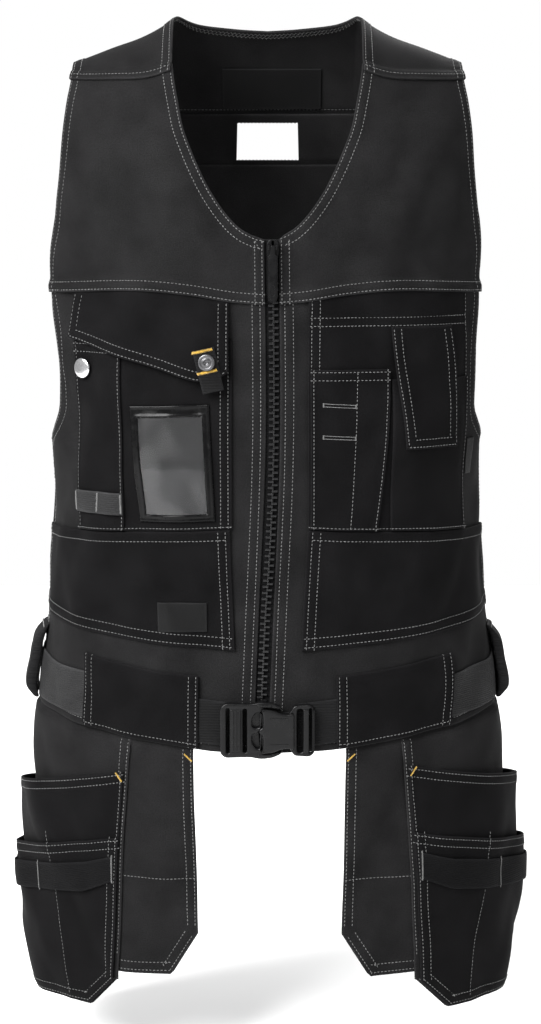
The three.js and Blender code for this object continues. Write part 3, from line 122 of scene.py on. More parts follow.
# Rows of a place and the value there, as shares of the sizes that use them
RIDGE_ROWS = np.array([(0.4, 0), (0.46, 0.21), (0.56, 0.46), (0.68, 0.66), (0.87, 1.0)])
SHOULDER_SEAM_ROWS = np.array([(0.38, 0), (0.52, 0.72), (0.68, 0.9), (0.87, 1.0)])
CHEST_SEAM_ROWS = np.array([(0, 0), (0.15, 0.2), (0.34, 0.7), (0.56, 1.0), (0.95, 0.68)])
ARMHOLE_ROWS = np.array([
    (-0.1, 0.86), (0.08, 0.862), (0.15, 0.88), (0.27, 0.907), (0.4, 0.933), (0.5, 0.948),
    (0.57, 0.951), (0.65, 0.95), (0.77, 0.938), (0.9, 0.944), (0.95, 0.965), (1.0, 1.0),
])
NECK_ROWS = np.array([
    (0, 1.0), (0.09, 0.995), (0.2, 0.97), (0.32, 0.925), (0.44, 0.875), (0.55, 0.793),
    (0.66, 0.696), (0.78, 0.567), (0.9, 0.39), (0.965, 0.245), (1.0, 0.1),
])
BACK_NECK_ROWS = np.array([
    (0, 1.214), (0.35, 1.2), (0.735, 1.165), (0.87, 1.12), (0.945, 1.06), (1.0, 1.0),
])
HEM_ROWS = np.array([(0, 0), (0.21, 0.09), (0.6, 0.59), (0.93, 1.0), (2.0, 1.05)])
BELT_ROWS = np.array([
    (0, 0), (0.21, 0.15), (0.45, 0.35), (0.63, 0.55), (0.8, 0.66), (1.0, 0.8), (2.0, 1.0),
])
ZIP_ROWS = np.array([(0.28, 0.8), (0.6, 1.0), (0.88, -0.4), (1.0, -1.0)])
FLAP_ROWS = np.array([
    (0, 0.78), (0.06, 0.94), (0.14, 1.0), (0.2, 0.99), (0.41, 0.72), (0.66, 0.4), (1.0, 0),
])
SIDE_LOOP_ROWS = np.array([(0, 0), (0.2, 0.75), (0.5, 0.9), (0.85, 1.0), (1, 0.3)])
# Folds: start and end in shares of HALF_WIDTH and HEM_DROP, width of HALF_WIDTH, rise of FOLD_DEPTH
FOLD_ROWS = [
    # arc, drop, end arc, end drop, width, rise
    (-0.9, 0.2, -0.55, 0.33, 0.1, 0.9),
    (-0.75, 0.1, -0.5, 0.26, 0.09, -0.7),
    (0.85, 0.07, 0.7, 0.24, 0.1, 1.0),
    (0.6, 0.2, 0.35, 0.31, 0.1, -0.6),
    (-1.25, 0.62, -1.15, 0.8, 0.1, -0.9),
    (1.25, 0.62, 1.15, 0.82, 0.1, -0.9),
    (-0.6, 0.7, -0.5, 0.88, 0.12, 0.8),
    (0.75, 0.68, 0.55, 0.88, 0.12, 0.8),
]


# The worn shape, as in the CAD source
def curve_at(rows, at, column=1):
    """Smooth curve through a table's rows, flat beyond its ends."""
    keys = rows[:, 0]
    values = rows[:, column]
    last = len(keys) - 1
    before = np.maximum(np.arange(last + 1) - 1, 0)
    after = np.minimum(np.arange(last + 1) + 1, last)
    slopes = (values[after] - values[before]) / (keys[after] - keys[before])
    at = np.clip(np.asarray(at, float), keys[0], keys[-1])
    row = np.clip(np.searchsorted(keys, at, side="right") - 1, 0, last - 1)
    span = keys[row + 1] - keys[row]
    t = (at - keys[row]) / span
    rest = 1 - t
    return (
        values[row] * (1 + 2 * t) * rest**2
        + slopes[row] * span * t * rest**2
        + values[row + 1] * t**2 * (3 - 2 * t)
        - slopes[row + 1] * span * t**2 * rest
    )


def limited(value):
    return np.clip(value, 0.0, 1.0)


def smooth_step(value):
    share = limited(value)
    return share * share * (3 - 2 * share)


def mix(start, end, share):
    return start + (end - start) * share


def section_at(height):
    """Half width, front depth and back depth of the worn shape."""
    drop = -np.asarray(height, float) / HEM_DROP
    return (
        HALF_WIDTH * curve_at(SECTION_ROWS, drop, 1),
        FRONT_DEPTH * curve_at(SECTION_ROWS, drop, 2),
        BACK_DEPTH * curve_at(SECTION_ROWS, drop, 3),
    )


def section_place(section, angle):
    width, front, back = section
    power = 2 / SECTION_ROUNDNESS
    ahead = np.cos(angle)
    depth = np.where(ahead > 0, -front, back)
    return width * np.sin(angle) ** power, depth * np.abs(ahead) ** power


RING_STEPS = 96
TABLE_STEP = 4.0
TABLE_HEIGHTS = np.arange(-944.0, 84.0, TABLE_STEP)
TABLE_ARCS = np.arange(0.0, 641.0)


def ring_tables():
    """Arc lengths round half a section for each height, and the angle of each arc."""
    angles = np.minimum(np.linspace(0, np.pi, RING_STEPS + 1), np.pi - 1e-9)
    section = [part[:, None] for part in section_at(TABLE_HEIGHTS)]
    x, y = section_place(section, angles[None, :])
    steps = np.hypot(np.diff(x, axis=1), np.diff(y, axis=1))
    lengths = np.concatenate([np.zeros((len(x), 1)), np.cumsum(steps, axis=1)], axis=1)
    angle_of_arc = np.array([np.interp(TABLE_ARCS, row, angles) for row in lengths])
    return lengths, angle_of_arc


RING_LENGTHS, ANGLE_OF_ARC = ring_tables()


def table_value(table, height, across):
    """Value between the rows and columns of a table whose rows are TABLE_HEIGHTS."""
    row = np.clip((height - TABLE_HEIGHTS[0]) / TABLE_STEP, 0, len(TABLE_HEIGHTS) - 1.001)
    column = np.clip(across, 0, table.shape[1] - 1.001)
    i = row.astype(int)
    j = column.astype(int)
    down = row - i
    along = column - j
    top = table[i, j] * (1 - along) + table[i, j + 1] * along
    bottom = table[i + 1, j] * (1 - along) + table[i + 1, j + 1] * along
    return top * (1 - down) + bottom * down


def side_arc(height):
    return np.interp(height, TABLE_HEIGHTS, RING_LENGTHS[:, RING_STEPS // 2])


def half_arc(height):
    return np.interp(height, TABLE_HEIGHTS, RING_LENGTHS[:, RING_STEPS])


def arc_of_x(x, height):
    """Arc on the front half where the section reaches x."""
    x, height = np.broadcast_arrays(np.asarray(x, float), np.asarray(height, float))
    width = section_at(height)[0]
    angle = np.arcsin(np.minimum(np.abs(x) / width, 1) ** (SECTION_ROUNDNESS / 2))
    return np.sign(x) * table_value(RING_LENGTHS, height, angle / np.pi * RING_STEPS)


def ridge_height(x):
    return RIDGE_RISE - RIDGE_FALL * curve_at(RIDGE_ROWS, np.abs(x) / HALF_WIDTH)


def chest_seam_height(x):
    return -CHEST_SEAM_DROP + CHEST_SEAM_ARCH * curve_at(CHEST_SEAM_ROWS, np.abs(x) / HALF_WIDTH)


def shoulder_seam_height(x):
    fall = curve_at(SHOULDER_SEAM_ROWS, np.abs(x) / HALF_WIDTH)
    return -SHOULDER_SEAM_DROP - SHOULDER_SEAM_SLOPE * fall


def lean_share(x, height):
    low = chest_seam_height(x)
    rise = limited((height - low) / (ridge_height(x) - low))
    return (1 - rise**SHOULDER_ROUNDNESS) ** (1 / SHOULDER_ROUNDNESS)


def base_place(arc, height):
    arc, height = np.broadcast_arrays(np.asarray(arc, float), np.asarray(height, float))
    half = half_arc(height)
    beyond = arc > half
    near = np.where(beyond, 2 * half - arc, np.abs(arc))
    x, y = section_place(section_at(height), table_value(ANGLE_OF_ARC, height, near))
    flip = np.where(beyond | (arc < 0), -1, 1)
    return np.stack([flip * x, y * lean_share(x, height), height], axis=-1)


def fold_rise(arc, height):
    rise = 0.0
    for fold_arc, drop, end_arc, end_drop, width, share in FOLD_ROWS:
        start = np.array([fold_arc * HALF_WIDTH, drop * HEM_DROP])
        along = np.array([end_arc * HALF_WIDTH, end_drop * HEM_DROP]) - start
        length = np.hypot(*along)
        across = arc - start[0]
        down = -height - start[1]
        part = (across * along[0] + down * along[1]) / length**2
        aside = (across * along[1] - down * along[0]) / length / (width * HALF_WIDTH)
        rise = rise + FOLD_DEPTH * share * np.exp(-((2 * part - 1) ** 4)) * np.exp(-(aside**2))
    return rise


LATTICE_SIZE = 128


def soft_noise(x, y, seed):
    """Smooth unevenness between -1 and 1, on a lattice of random numbers."""
    lattice = np.random.default_rng(seed).uniform(-1, 1, (LATTICE_SIZE, LATTICE_SIZE))
    x, y = np.broadcast_arrays(np.asarray(x, float), np.asarray(y, float))
    i = np.floor(x).astype(int)
    j = np.floor(y).astype(int)
    u = smooth_step(x - i)
    v = smooth_step(y - j)
    value = lambda di, dj: lattice[(i + di) % LATTICE_SIZE, (j + dj) % LATTICE_SIZE]
    low = mix(value(0, 0), value(1, 0), u)
    high = mix(value(0, 1), value(1, 1), u)
    return mix(low, high, v)


def drape(arc, height):
    """Hanging folds that every layer of cloth follows together, in millimetres."""
    half = half_arc(height)
    signed = np.where(arc > half, arc - 2 * half, arc)
    away = np.abs(signed)
    calm = smooth_step((half - away) / 70) * smooth_step((away - 12) / 34)
    calm = calm * smooth_step((-height - 70) / 70)
    lean = np.where(signed > 0, 1, -1)
    slanted = signed + 0.35 * lean * height
    crossing = signed - 0.45 * lean * height
    long = soft_noise(slanted / 33 + 9, (height - 0.4 * signed) / 130 + 40, 7)
    cross = soft_noise(crossing / 27 + 60, (height + 0.3 * signed) / 85 + 20, 9)
    small = soft_noise(signed / 15 + 30, height / 34 + 90, 12)
    crease = np.abs(cross) ** 0.75 * np.sign(cross)
    return calm * (3.2 * long + 2.4 * crease + 0.7 * small)


def unit(vectors):
    return vectors / np.linalg.norm(vectors, axis=-1, keepdims=True)


def body_frame(arc, height):
    """Places on the cloth's inner face, and the outward directions there."""
    reach = 6
    step = 3
    across = base_place(arc + reach, height) - base_place(arc - reach, height)
    up = base_place(arc, height + step) - base_place(arc, height - step)
    normal = unit(np.cross(across, up))
    rise = fold_rise(arc, height) + drape(arc, height)
    return base_place(arc, height) + normal * rise[..., None], normal


def shoulder_place(x, climb):
    """The same shape over the shoulder: climb is 0 at the chest seam, 1 on the ridge, 2 behind."""
    turn = climb * np.pi / 2
    low = chest_seam_height(x)
    rise = np.sin(turn) ** (2 / SHOULDER_ROUNDNESS)
    height = mix(low, ridge_height(x), rise)
    width, front, back = section_at(height)
    ahead = np.cos(turn)
    depth = np.where(ahead > 0, -front, back)
    across = np.minimum(np.abs(x) / width, 1)
    share = (1 - across**SECTION_ROUNDNESS) ** (1 / SECTION_ROUNDNESS)
    return np.stack([x, depth * share * np.abs(ahead) ** (2 / SHOULDER_ROUNDNESS), height], axis=-1)


def shoulder_frame(x, climb):
    reach = 4
    turn = 0.03
    across = shoulder_place(x + reach, climb) - shoulder_place(x - reach, climb)
    along = shoulder_place(x, climb + turn) - shoulder_place(x, climb - turn)
    normal = unit(np.cross(across, along))
    place = shoulder_place(x, climb)
    rise = np.where(climb < 1, fold_rise(x, place[..., 2]) + drape(x, place[..., 2]), 0.0)
    return place + normal * rise[..., None], normal


def climb_of_height(x, height, behind):
    low = chest_seam_height(x)
    rise = limited((height - low) / (ridge_height(x) - low))
    turn = np.arcsin(rise ** (SHOULDER_ROUNDNESS / 2)) / (np.pi / 2)
    return 2 - turn if behind else turn


def zip_line(height):
    return ZIP_SWING * curve_at(ZIP_ROWS, -np.asarray(height, float) / ZIP_END_DROP)


def armhole_x(height):
    return section_at(height)[0] * curve_at(ARMHOLE_ROWS, -np.asarray(height, float) / ARMHOLE_DROP)


def front_edge_arc(height):
    height = np.asarray(height, float)
    return np.where(-height < ARMHOLE_DROP, arc_of_x(armhole_x(height), height), side_arc(height))


def back_edge_arc(height):
    height = np.asarray(height, float)
    across = np.minimum(armhole_x(height) / section_at(height)[0], 1)
    angle = np.pi - np.arcsin(across ** (SECTION_ROUNDNESS / 2))
    arc = table_value(RING_LENGTHS, height, angle / np.pi * RING_STEPS)
    return np.where(-height >= ARMHOLE_DROP, side_arc(height), arc)


def rise_along(rows, arc, height):
    half = half_arc(height)
    side = side_arc(height)
    near = np.where(arc > half, 2 * half - arc, np.abs(arc))
    across = np.where(near < side, near / side, 1 + (near - side) / (half - side))
    return curve_at(rows, across)


def hem_height(arc):
    return -HEM_DROP + HEM_LIFT * rise_along(HEM_ROWS, arc, -HEM_DROP)


def belt_middle(arc):
    return -BELT_DROP + BELT_LIFT * rise_along(BELT_ROWS, arc, -BELT_DROP)


def pocket_split_height(arc):
    return -POCKET_SPLIT_DROP - POCKET_SPLIT_SLOPE * np.abs(arc) / CHEST_POCKET_WIDTH


def x_of_arc(arc):
    return base_place(arc, -CHEST_SEAM_DROP)[..., 0]


def lift(level):
    """Height above the body's inner face of pockets at one level of the layers."""
    return CLOTH_WALL + CLEARANCE + level * (POCKET_WALL + CLEARANCE)


def always(value):
    return lambda along: value + 0.0 * np.asarray(along, float)


def wrinkles(arc, height, seed, amount=1.0):
    """Slight waves and hand marks of stiff work cloth, in millimetres."""
    broad = soft_noise(arc / 62 + 3, height / 85 + 40, seed)
    bent = arc + 14 * soft_noise(arc / 90, height / 70 + 60, seed + 1)
    medium = soft_noise(bent / 26 + 9, height / 44 + 70, seed + 2)
    fine = soft_noise((arc + height * 0.5) / 13 + 5, (height - arc * 0.4) / 21 + 80, seed + 3)
    return amount * (0.75 * broad + 0.5 * medium + 0.2 * fine)


# Meshes
def new_object(name, vertices, faces, material, smooth=True):
    """A mesh object from places in millimetres."""
    mesh = bpy.data.meshes.new(name)
    mesh.from_pydata((np.asarray(vertices) * MM).tolist(), [], faces)
    mesh.polygons.foreach_set("use_smooth", [smooth] * len(mesh.polygons))
    mesh.materials.append(material)
    mesh.update()
    piece = bpy.data.objects.new(name, mesh)
    bpy.context.scene.collection.objects.link(piece)
    return piece


# Distances of grid lines from an edge, where the cloth is turned and sewn
EDGE_LINES = [0, 0.3, 0.8, 1.6, 2.6, 3.8, 5.2, 6.8, 8.0, 9.0, 10.4, 12.5]
# Rounds in which an arc and a height that depend on each other settle
SETTLE_ROUNDS = 8


def line_shares(length, step):
    """Shares of a length for grid lines that lie closer together near both ends."""
    near = [line for line in EDGE_LINES if line < length * 0.45]
    inside = length - 2 * near[-1]
    count = max(int(round(inside / step)), 1)
    even = near[-1] + inside * np.arange(1, count) / count
    lines = [*near, *even, *[length - line for line in reversed(near)]]
    return np.array(lines) / length


def nearest(borders):
    """Distance from the nearest of several edges."""
    return np.minimum.reduce(list(borders.values()))


class Cloth:
    """A cloth wall on the worn shape, between two arcs and two heights that may vary along each other.

    sewn gives, for each sewn edge, the distances of its thread rows from that edge.
    """

    def __init__(self, name, start, end, top, bottom, *, side=1, wall=CLOTH_WALL, inner=0.0,
                 sewn=None, turned=0.7, step=3.5, noise=0.5, seed=1, reliefs=(), follow=None):
        self.name = name
        self.side = side
        self.start, self.end, self.top, self.bottom = start, end, top, bottom
        self.wall = wall
        self.inner = inner if callable(inner) else (lambda arc, height: inner + 0.0 * arc)
        self.sewn = sewn or {}
        self.turned = turned
        self.step = step
        self.noise = noise
        self.seed = seed
        self.reliefs = reliefs
        self.follow = follow

    def edge_slope(self, edge, at):
        line = getattr(self, edge)
        return (line(at + 2.0) - line(at - 2.0)) / 4.0

    def borders(self, arc, height):
        """Distance from each edge, square to it."""
        lean = lambda edge, at: np.sqrt(1 + self.edge_slope(edge, at) ** 2)
        return {
            "start": (arc - self.start(height)) / lean("start", height),
            "end": (self.end(height) - arc) / lean("end", height),
            "top": (self.top(arc) - height) / lean("top", arc),
            "bottom": (height - self.bottom(arc)) / lean("bottom", arc),
        }

    def relief(self, arc, height, borders):
        """Outward shift of the outer face: turned hems, thread furrows and puckers."""
        shift = 0.0 * arc
        for edge, rows in self.sewn.items():
            away = borders[edge]
            along = height if edge in ("start", "end") else arc
            if self.turned:
                shift = shift + self.turned * smooth_step((rows[-1] + 2.2 - away) / 1.6)
            shift = shift + seam_shape(away, along, rows, self.seed)
        for line in self.reliefs:
            shift = shift + line(arc, height)
        return shift

    def offsets(self, arc, height):
        """Inner and outer offsets from the worn shape's own surface."""
        borders = self.borders(arc, height)
        edge = nearest(borders)
        inner = self.inner(arc, height) + self.ripple(arc, height, edge)
        outer = inner + self.wall + self.relief(arc, height, borders)
        round_off = 1 - limited(edge / (0.55 * self.wall))
        fullness = np.sqrt(np.maximum(1 - round_off**2, 0.03))
        middle = (inner + outer) / 2
        return middle + (inner - middle) * fullness, middle + (outer - middle) * fullness

    def ripple(self, arc, height, edge=None):
        """Unevenness of this piece, with that of the piece that it lies on."""
        if edge is None:
            edge = nearest(self.borders(arc, height))
        under = self.follow.ripple(arc, height) if self.follow else 0.0
        calm = 0.25 + 0.75 * smooth_step(edge / 14)
        return under + wrinkles(self.side * arc, height, self.seed, self.noise) * calm

    def surface(self, arc, height, above=0.0):
        """Places on the outer face, and the outward directions there."""
        arc = np.asarray(arc, float)
        height = np.asarray(height, float)
        place, normal = body_frame(self.side * arc, height)
        outer = self.offsets(arc, height)[1]
        return place + normal * (outer + above)[..., None], normal

    def middle(self):
        """An arc and a height near the middle of the piece."""
        arc = 0.5 * (self.start(-CHEST_SEAM_DROP) + self.end(-CHEST_SEAM_DROP))
        for _ in range(6):
            height = 0.5 * (self.top(arc) + self.bottom(arc))
            arc = 0.5 * (self.start(height) + self.end(height))
        return arc, height

    def grid(self):
        arc, height = self.middle()
        tall = float(self.top(arc) - self.bottom(arc))
        wide = float(self.end(height) - self.start(height))
        columns = line_shares(wide, self.step)[:, None]
        rows = line_shares(tall, self.step)[None, :]
        height = mix(self.top(arc), self.bottom(arc), rows) + 0 * columns
        arc = mix(self.start(height), self.end(height), columns)
        for _ in range(SETTLE_ROUNDS):
            height = mix(self.top(arc), self.bottom(arc), rows)
            arc = mix(self.start(height), self.end(height), columns)
        return arc, height

    def build(self, material, keep=None):
        arc, height = self.grid()
        place, normal = body_frame(self.side * arc, height)
        inner, outer = self.offsets(arc, height)
        layers = [place + normal * inner[..., None], place + normal * outer[..., None]]
        kept = np.ones((arc.shape[0] - 1, arc.shape[1] - 1), bool)
        if keep is not None:
            kept = keep(cell_middles(arc), cell_middles(height))
        edge = nearest(self.borders(arc, height))
        self.piece = wall_object(self.name, layers, kept, arc * self.side, height, edge, material,
                                 self.side)
        self.flat = cut_size(arc, height, kept)
        return self

    def edge_line(self, edge, inset, first=0.0, last=1.0, count=400):
        """Arcs and heights of a line along an edge, between two shares of its length."""
        shares = np.linspace(first, last, count)
        line = getattr(self, edge)
        arc, height = self.middle()
        if edge in ("start", "end"):
            way = 1 if edge == "start" else -1
            arc = arc + 0 * shares
            for _ in range(SETTLE_ROUNDS):
                height = mix(self.top(arc), self.bottom(arc), shares)
                arc = line(height)
            slope = self.edge_slope(edge, height)
            lean = np.sqrt(1 + slope**2)
            return arc + way * inset / lean, height - way * inset * slope / lean
        way = -1 if edge == "top" else 1
        height = height + 0 * shares
        for _ in range(SETTLE_ROUNDS):
            arc = mix(self.start(height), self.end(height), shares)
            height = line(arc)
        slope = self.edge_slope(edge, arc)
        lean = np.sqrt(1 + slope**2)
        return arc - way * inset * slope / lean, height + way * inset / lean


def cell_middles(field):
    return (field[1:, 1:] + field[:-1, :-1]) / 2


def seam_shape(away, along, rows, seed):
    """Furrows where thread pulls the cloth in, and the small puckers beside them."""
    middle = sum(rows) / len(rows)
    spread = (rows[-1] - rows[0]) / 2 + 4.0
    shift = 0.0 * away
    for row in rows:
        shift = shift - 0.32 * np.exp(-(((away - row) / 1.25) ** 2))
    wave = np.sin(along / 1.35 + 2.2 * soft_noise(along / 19 + 7, along * 0 + 3.5, seed + 5))
    swing = 0.5 + 0.5 * soft_noise(along / 31 + 2, along * 0 + 9.5, seed + 6)
    return shift + 0.17 * swing * wave * np.exp(-(((away - middle) / spread) ** 2))


CELL_CORNERS = [(0, 0), (0, 1), (1, 1), (1, 0)]


def wall_object(name, layers, kept, arc, height, edge, material, side=1):
    """A closed wall from an inner and an outer grid, with cloth lengths as its texture places."""
    columns, rows = kept.shape
    count = (columns + 1) * (rows + 1)
    number = lambda i, j, layer: layer * count + i * (rows + 1) + j
    vertices = np.concatenate([layer.reshape(-1, 3) for layer in layers])
    i, j = np.nonzero(kept)
    outer = np.stack([number(i + di, j + dj, 1) for di, dj in CELL_CORNERS], 1)
    inner = np.stack([number(i + dj, j + di, 0) for di, dj in CELL_CORNERS], 1)
    quads = [outer, inner]
    padded_cells = np.pad(kept, 1)
    for di, dj, one, two in ((-1, 0, (0, 0), (0, 1)), (1, 0, (1, 1), (1, 0)),
                             (0, -1, (1, 0), (0, 0)), (0, 1, (0, 1), (1, 1))):
        rim = kept & ~padded_cells[1 + di:1 + di + columns, 1 + dj:1 + dj + rows]
        i, j = np.nonzero(rim)
        a = (i + one[0], j + one[1])
        b = (i + two[0], j + two[1])
        quads.append(np.stack([number(*a, 0), number(*b, 0), number(*b, 1), number(*a, 1)], 1))
    faces = np.concatenate(quads)
    if side < 0:
        faces = faces[:, ::-1]
    used, faces = np.unique(faces, return_inverse=True)
    faces = faces.reshape(-1, 4)
    piece = new_object(name, vertices[used], faces.tolist(), material)
    lengths = np.tile(np.stack([arc.ravel(), height.ravel()], 1), (2, 1))[used] * MM
    layer = piece.data.uv_layers.new(name="cloth")
    layer.data.foreach_set("uv", lengths[faces.ravel()].ravel())
    distance = piece.data.attributes.new("edge", "FLOAT", "POINT")
    distance.data.foreach_set("value", np.tile(edge.ravel(), 2)[used])
    return piece


def closed_pairs(points):
    """Each point with the one after it, round a closed outline."""
    return zip(points, points[1:] + points[:1])


def cut_size(arc, height, kept):
    """Width, length and area of the flat cut, in metres."""
    area = 0.0
    first, last = slice(None, -1), slice(1, None)
    corners = [(first, first), (last, first), (last, last), (first, last)]
    for here, after in closed_pairs(corners):
        area = area + arc[here] * height[after] - arc[after] * height[here]
    area = float(np.abs(area[kept] / 2).sum()) * MM * MM
    wide = float(np.ptp(arc, axis=0).max()) * MM
    tall = float(np.ptp(height, axis=1).max()) * MM
    return wide, tall, min(area, wide * tall)


# Materials
def node_of(tree, kind, **values):
    node = tree.nodes.new(kind)
    for key, value in values.items():
        if key in node.bl_rna.properties:
            setattr(node, key, value)
        else:
            node.inputs[key].default_value = value
    return node


def math_node(tree, operation, first, second=None):
    node = node_of(tree, "ShaderNodeMath", operation=operation)
    for slot, value in enumerate((first, second)):
        if value is None:
            continue
        if isinstance(value, (int, float)):
            node.inputs[slot].default_value = value
        else:
            tree.links.new(value, node.inputs[slot])
    return node.outputs[0]


def times(tree, first, second):
    return math_node(tree, "MULTIPLY", first, second)


def ramp(tree, value, low, high, start=0.0, end=1.0):
    node = node_of(tree, "ShaderNodeMapRange")
    node.inputs["From Min"].default_value = start
    node.inputs["From Max"].default_value = end
    node.inputs["To Min"].default_value = low
    node.inputs["To Max"].default_value = high
    tree.links.new(value, node.inputs["Value"])
    return node.outputs["Result"]


def noise_value(tree, where, scale, detail=2.0, rough=0.5):
    node = node_of(tree, "ShaderNodeTexNoise", Scale=scale, Detail=detail, Roughness=rough)
    tree.links.new(where, node.inputs["Vector"])
    return node.outputs["Fac"]


def object_places(tree):
    return node_of(tree, "ShaderNodeTexCoord").outputs["Object"]


def add_bump(tree, shader, height, strength, distance):
    """Fine relief of a surface, its distance in millimetres."""
    bump = node_of(tree, "ShaderNodeBump", Strength=strength, Distance=distance * MM)
    tree.links.new(height, bump.inputs["Height"])
    tree.links.new(bump.outputs[0], shader.inputs["Normal"])


def shader_of(name, roughness, specular, **values):
    """A new material, its tree and its shader."""
    material = bpy.data.materials.new(name)
    material.use_nodes = True
    tree = material.node_tree
    shader = tree.nodes["Principled BSDF"]
    shader.inputs["Roughness"].default_value = roughness
    shader.inputs["Specular IOR Level"].default_value = specular
    for key, value in values.items():
        shader.inputs[key].default_value = value
    return material, tree, shader


def tinted(tree, colour, brightness):
    """The colour times a brightness that varies over the surface."""
    node = node_of(tree, "ShaderNodeMix", data_type="RGBA", blend_type="MULTIPLY")
    node.inputs[0].default_value = 1.0
    node.inputs[6].default_value = (*colour, 1.0)
    grey = node_of(tree, "ShaderNodeCombineColor")
    for channel in range(3):
        tree.links.new(brightness, grey.inputs[channel])
    tree.links.new(grey.outputs[0], node.inputs[7])
    return node.outputs[2]


def cloth_material(name, colour, *, yarn=0.9, depth=0.1, slub=0.45, patches=0.25, specular=0.03,
                   roughness=0.75, sheen=0.015, worn=0.6, ribs=None):
    """Woven cloth: crossing yarns, uneven yarn colour, faint patches and paler, rubbed edges."""
    material, tree, shader = shader_of(name, roughness, specular)
    shader.inputs["Sheen Weight"].default_value = sheen
    shader.inputs["Sheen Roughness"].default_value = 0.45
    shader.inputs["Sheen Tint"].default_value = (0.8, 0.8, 0.8, 1.0)
    places = node_of(tree, "ShaderNodeUVMap", uv_map="cloth").outputs["UV"]
    split = node_of(tree, "ShaderNodeSeparateXYZ")
    tree.links.new(places, split.inputs[0])
    ripples = lambda axis, pitch: math_node(
        tree, "SINE", times(tree, split.outputs[axis], 2 * math.pi / (pitch * MM)))
    woven = times(tree, ripples(0, yarn), ripples(1, yarn))
    if ribs:
        woven = math_node(tree, "ADD", times(tree, ripples(1, ribs), 1.6), woven)
    fuzz = noise_value(tree, places, 900.0, 2.0, 0.6)
    broad = noise_value(tree, places, 26.0, 3.0, 0.55)
    add_bump(tree, shader, math_node(tree, "ADD", woven, times(tree, fuzz, 2.2)), 0.55, depth)
    grain = ramp(tree, fuzz, 1 - slub, 1 + slub, 0.3, 0.7)
    tone = ramp(tree, broad, 1 - patches, 1 + patches, 0.3, 0.7)
    edge = node_of(tree, "ShaderNodeAttribute", attribute_name="edge").outputs["Fac"]
    rubbed = ramp(tree, edge, 1 + worn, 1.0, 0.2, 2.6)
    brightness = times(tree, times(tree, grain, tone), rubbed)
    tree.links.new(tinted(tree, colour, brightness), shader.inputs["Base Color"])
    return material


def hard_material(name, colour, *, roughness=0.4, specular=0.3, metallic=0.0, grain=0.12, bump=0.02,
                  scale=700.0, marks=0.25):
    """Moulded plastic or metal with a fine surface grain and faint handling marks."""
    material, tree, shader = shader_of(name, roughness, specular, Metallic=metallic)
    places = object_places(tree)
    fine = noise_value(tree, places, scale, 2.0, 0.55)
    marked = noise_value(tree, places, 90.0, 4.0, 0.7)
    add_bump(tree, shader, fine, 0.5, bump)
    tree.links.new(ramp(tree, marked, roughness - marks / 2, roughness + marks / 2, 0.3, 0.7),
                   shader.inputs["Roughness"])
    tone = ramp(tree, fine, 1 - grain, 1 + grain, 0.3, 0.7)
    tree.links.new(tinted(tree, colour, tone), shader.inputs["Base Color"])
    return material


def thread_material(name, colour):
    """Sewing thread: a soft sheen and slightly uneven colour from stitch to stitch."""
    material, tree, shader = shader_of(name, 0.6, 0.3)
    shader.inputs["Sheen Weight"].default_value = 0.3
    places = object_places(tree)
    uneven = noise_value(tree, places, 240.0, 1.0)
    tone = ramp(tree, uneven, 0.6, 1.25, 0.3, 0.7)
    tree.links.new(tinted(tree, colour, tone), shader.inputs["Base Color"])
    twist = node_of(tree, "ShaderNodeTexWave", Scale=1500.0)
    tree.links.new(places, twist.inputs["Vector"])
    add_bump(tree, shader, twist.outputs["Fac"], 0.4, 0.05)
    return material


def pane_material():
    """Soft clear vinyl: glossy, faintly wavy and slightly milky."""
    material, tree, shader = shader_of("clear_vinyl", 0.18, 0.7)
    shader.inputs["Base Color"].default_value = (0.02, 0.02, 0.021, 1.0)
    shader.inputs["Alpha"].default_value = 0.2
    add_bump(tree, shader, noise_value(tree, object_places(tree), 38.0, 1.0, 0.4), 0.4, 0.4)
    return material


def card_material():
    """The pocket behind the clear window: grey sheet, painted paler below its fold line as a painted
    reflection of the pane, with a painted shade along the fold.
    """
    material, tree, shader = shader_of("card_pocket_backing", 0.45, 0.4)
    places = object_places(tree)
    split = node_of(tree, "ShaderNodeSeparateXYZ")
    tree.links.new(places, split.inputs[0])
    waves = noise_value(tree, places, 45.0, 1.0)
    bent = math_node(tree, "ADD", split.outputs[2], times(tree, waves, 0.01))
    # Painted reflection: below the fold line the sheet is painted four times paler, standing in for the
    # pane's glossy reflection.
    painted_reflection = ramp(tree, bent, 1.0, 0.25, -0.375, -0.372)
    # Painted shade: a thin band along the fold line is painted darker, where the crease is shaded.
    line = math_node(tree, "ABSOLUTE", math_node(tree, "SUBTRACT", bent, -0.367))
    shade = ramp(tree, line, 0.35, 1.0, 0.001, 0.004)
    cloudy = ramp(tree, noise_value(tree, places, 70.0, 2.0), 0.85, 1.12, 0.3, 0.7)
    brightness = times(tree, times(tree, painted_reflection, shade), cloudy)
    tree.links.new(tinted(tree, (0.027, 0.027, 0.028), brightness), shader.inputs["Base Color"])
    return material


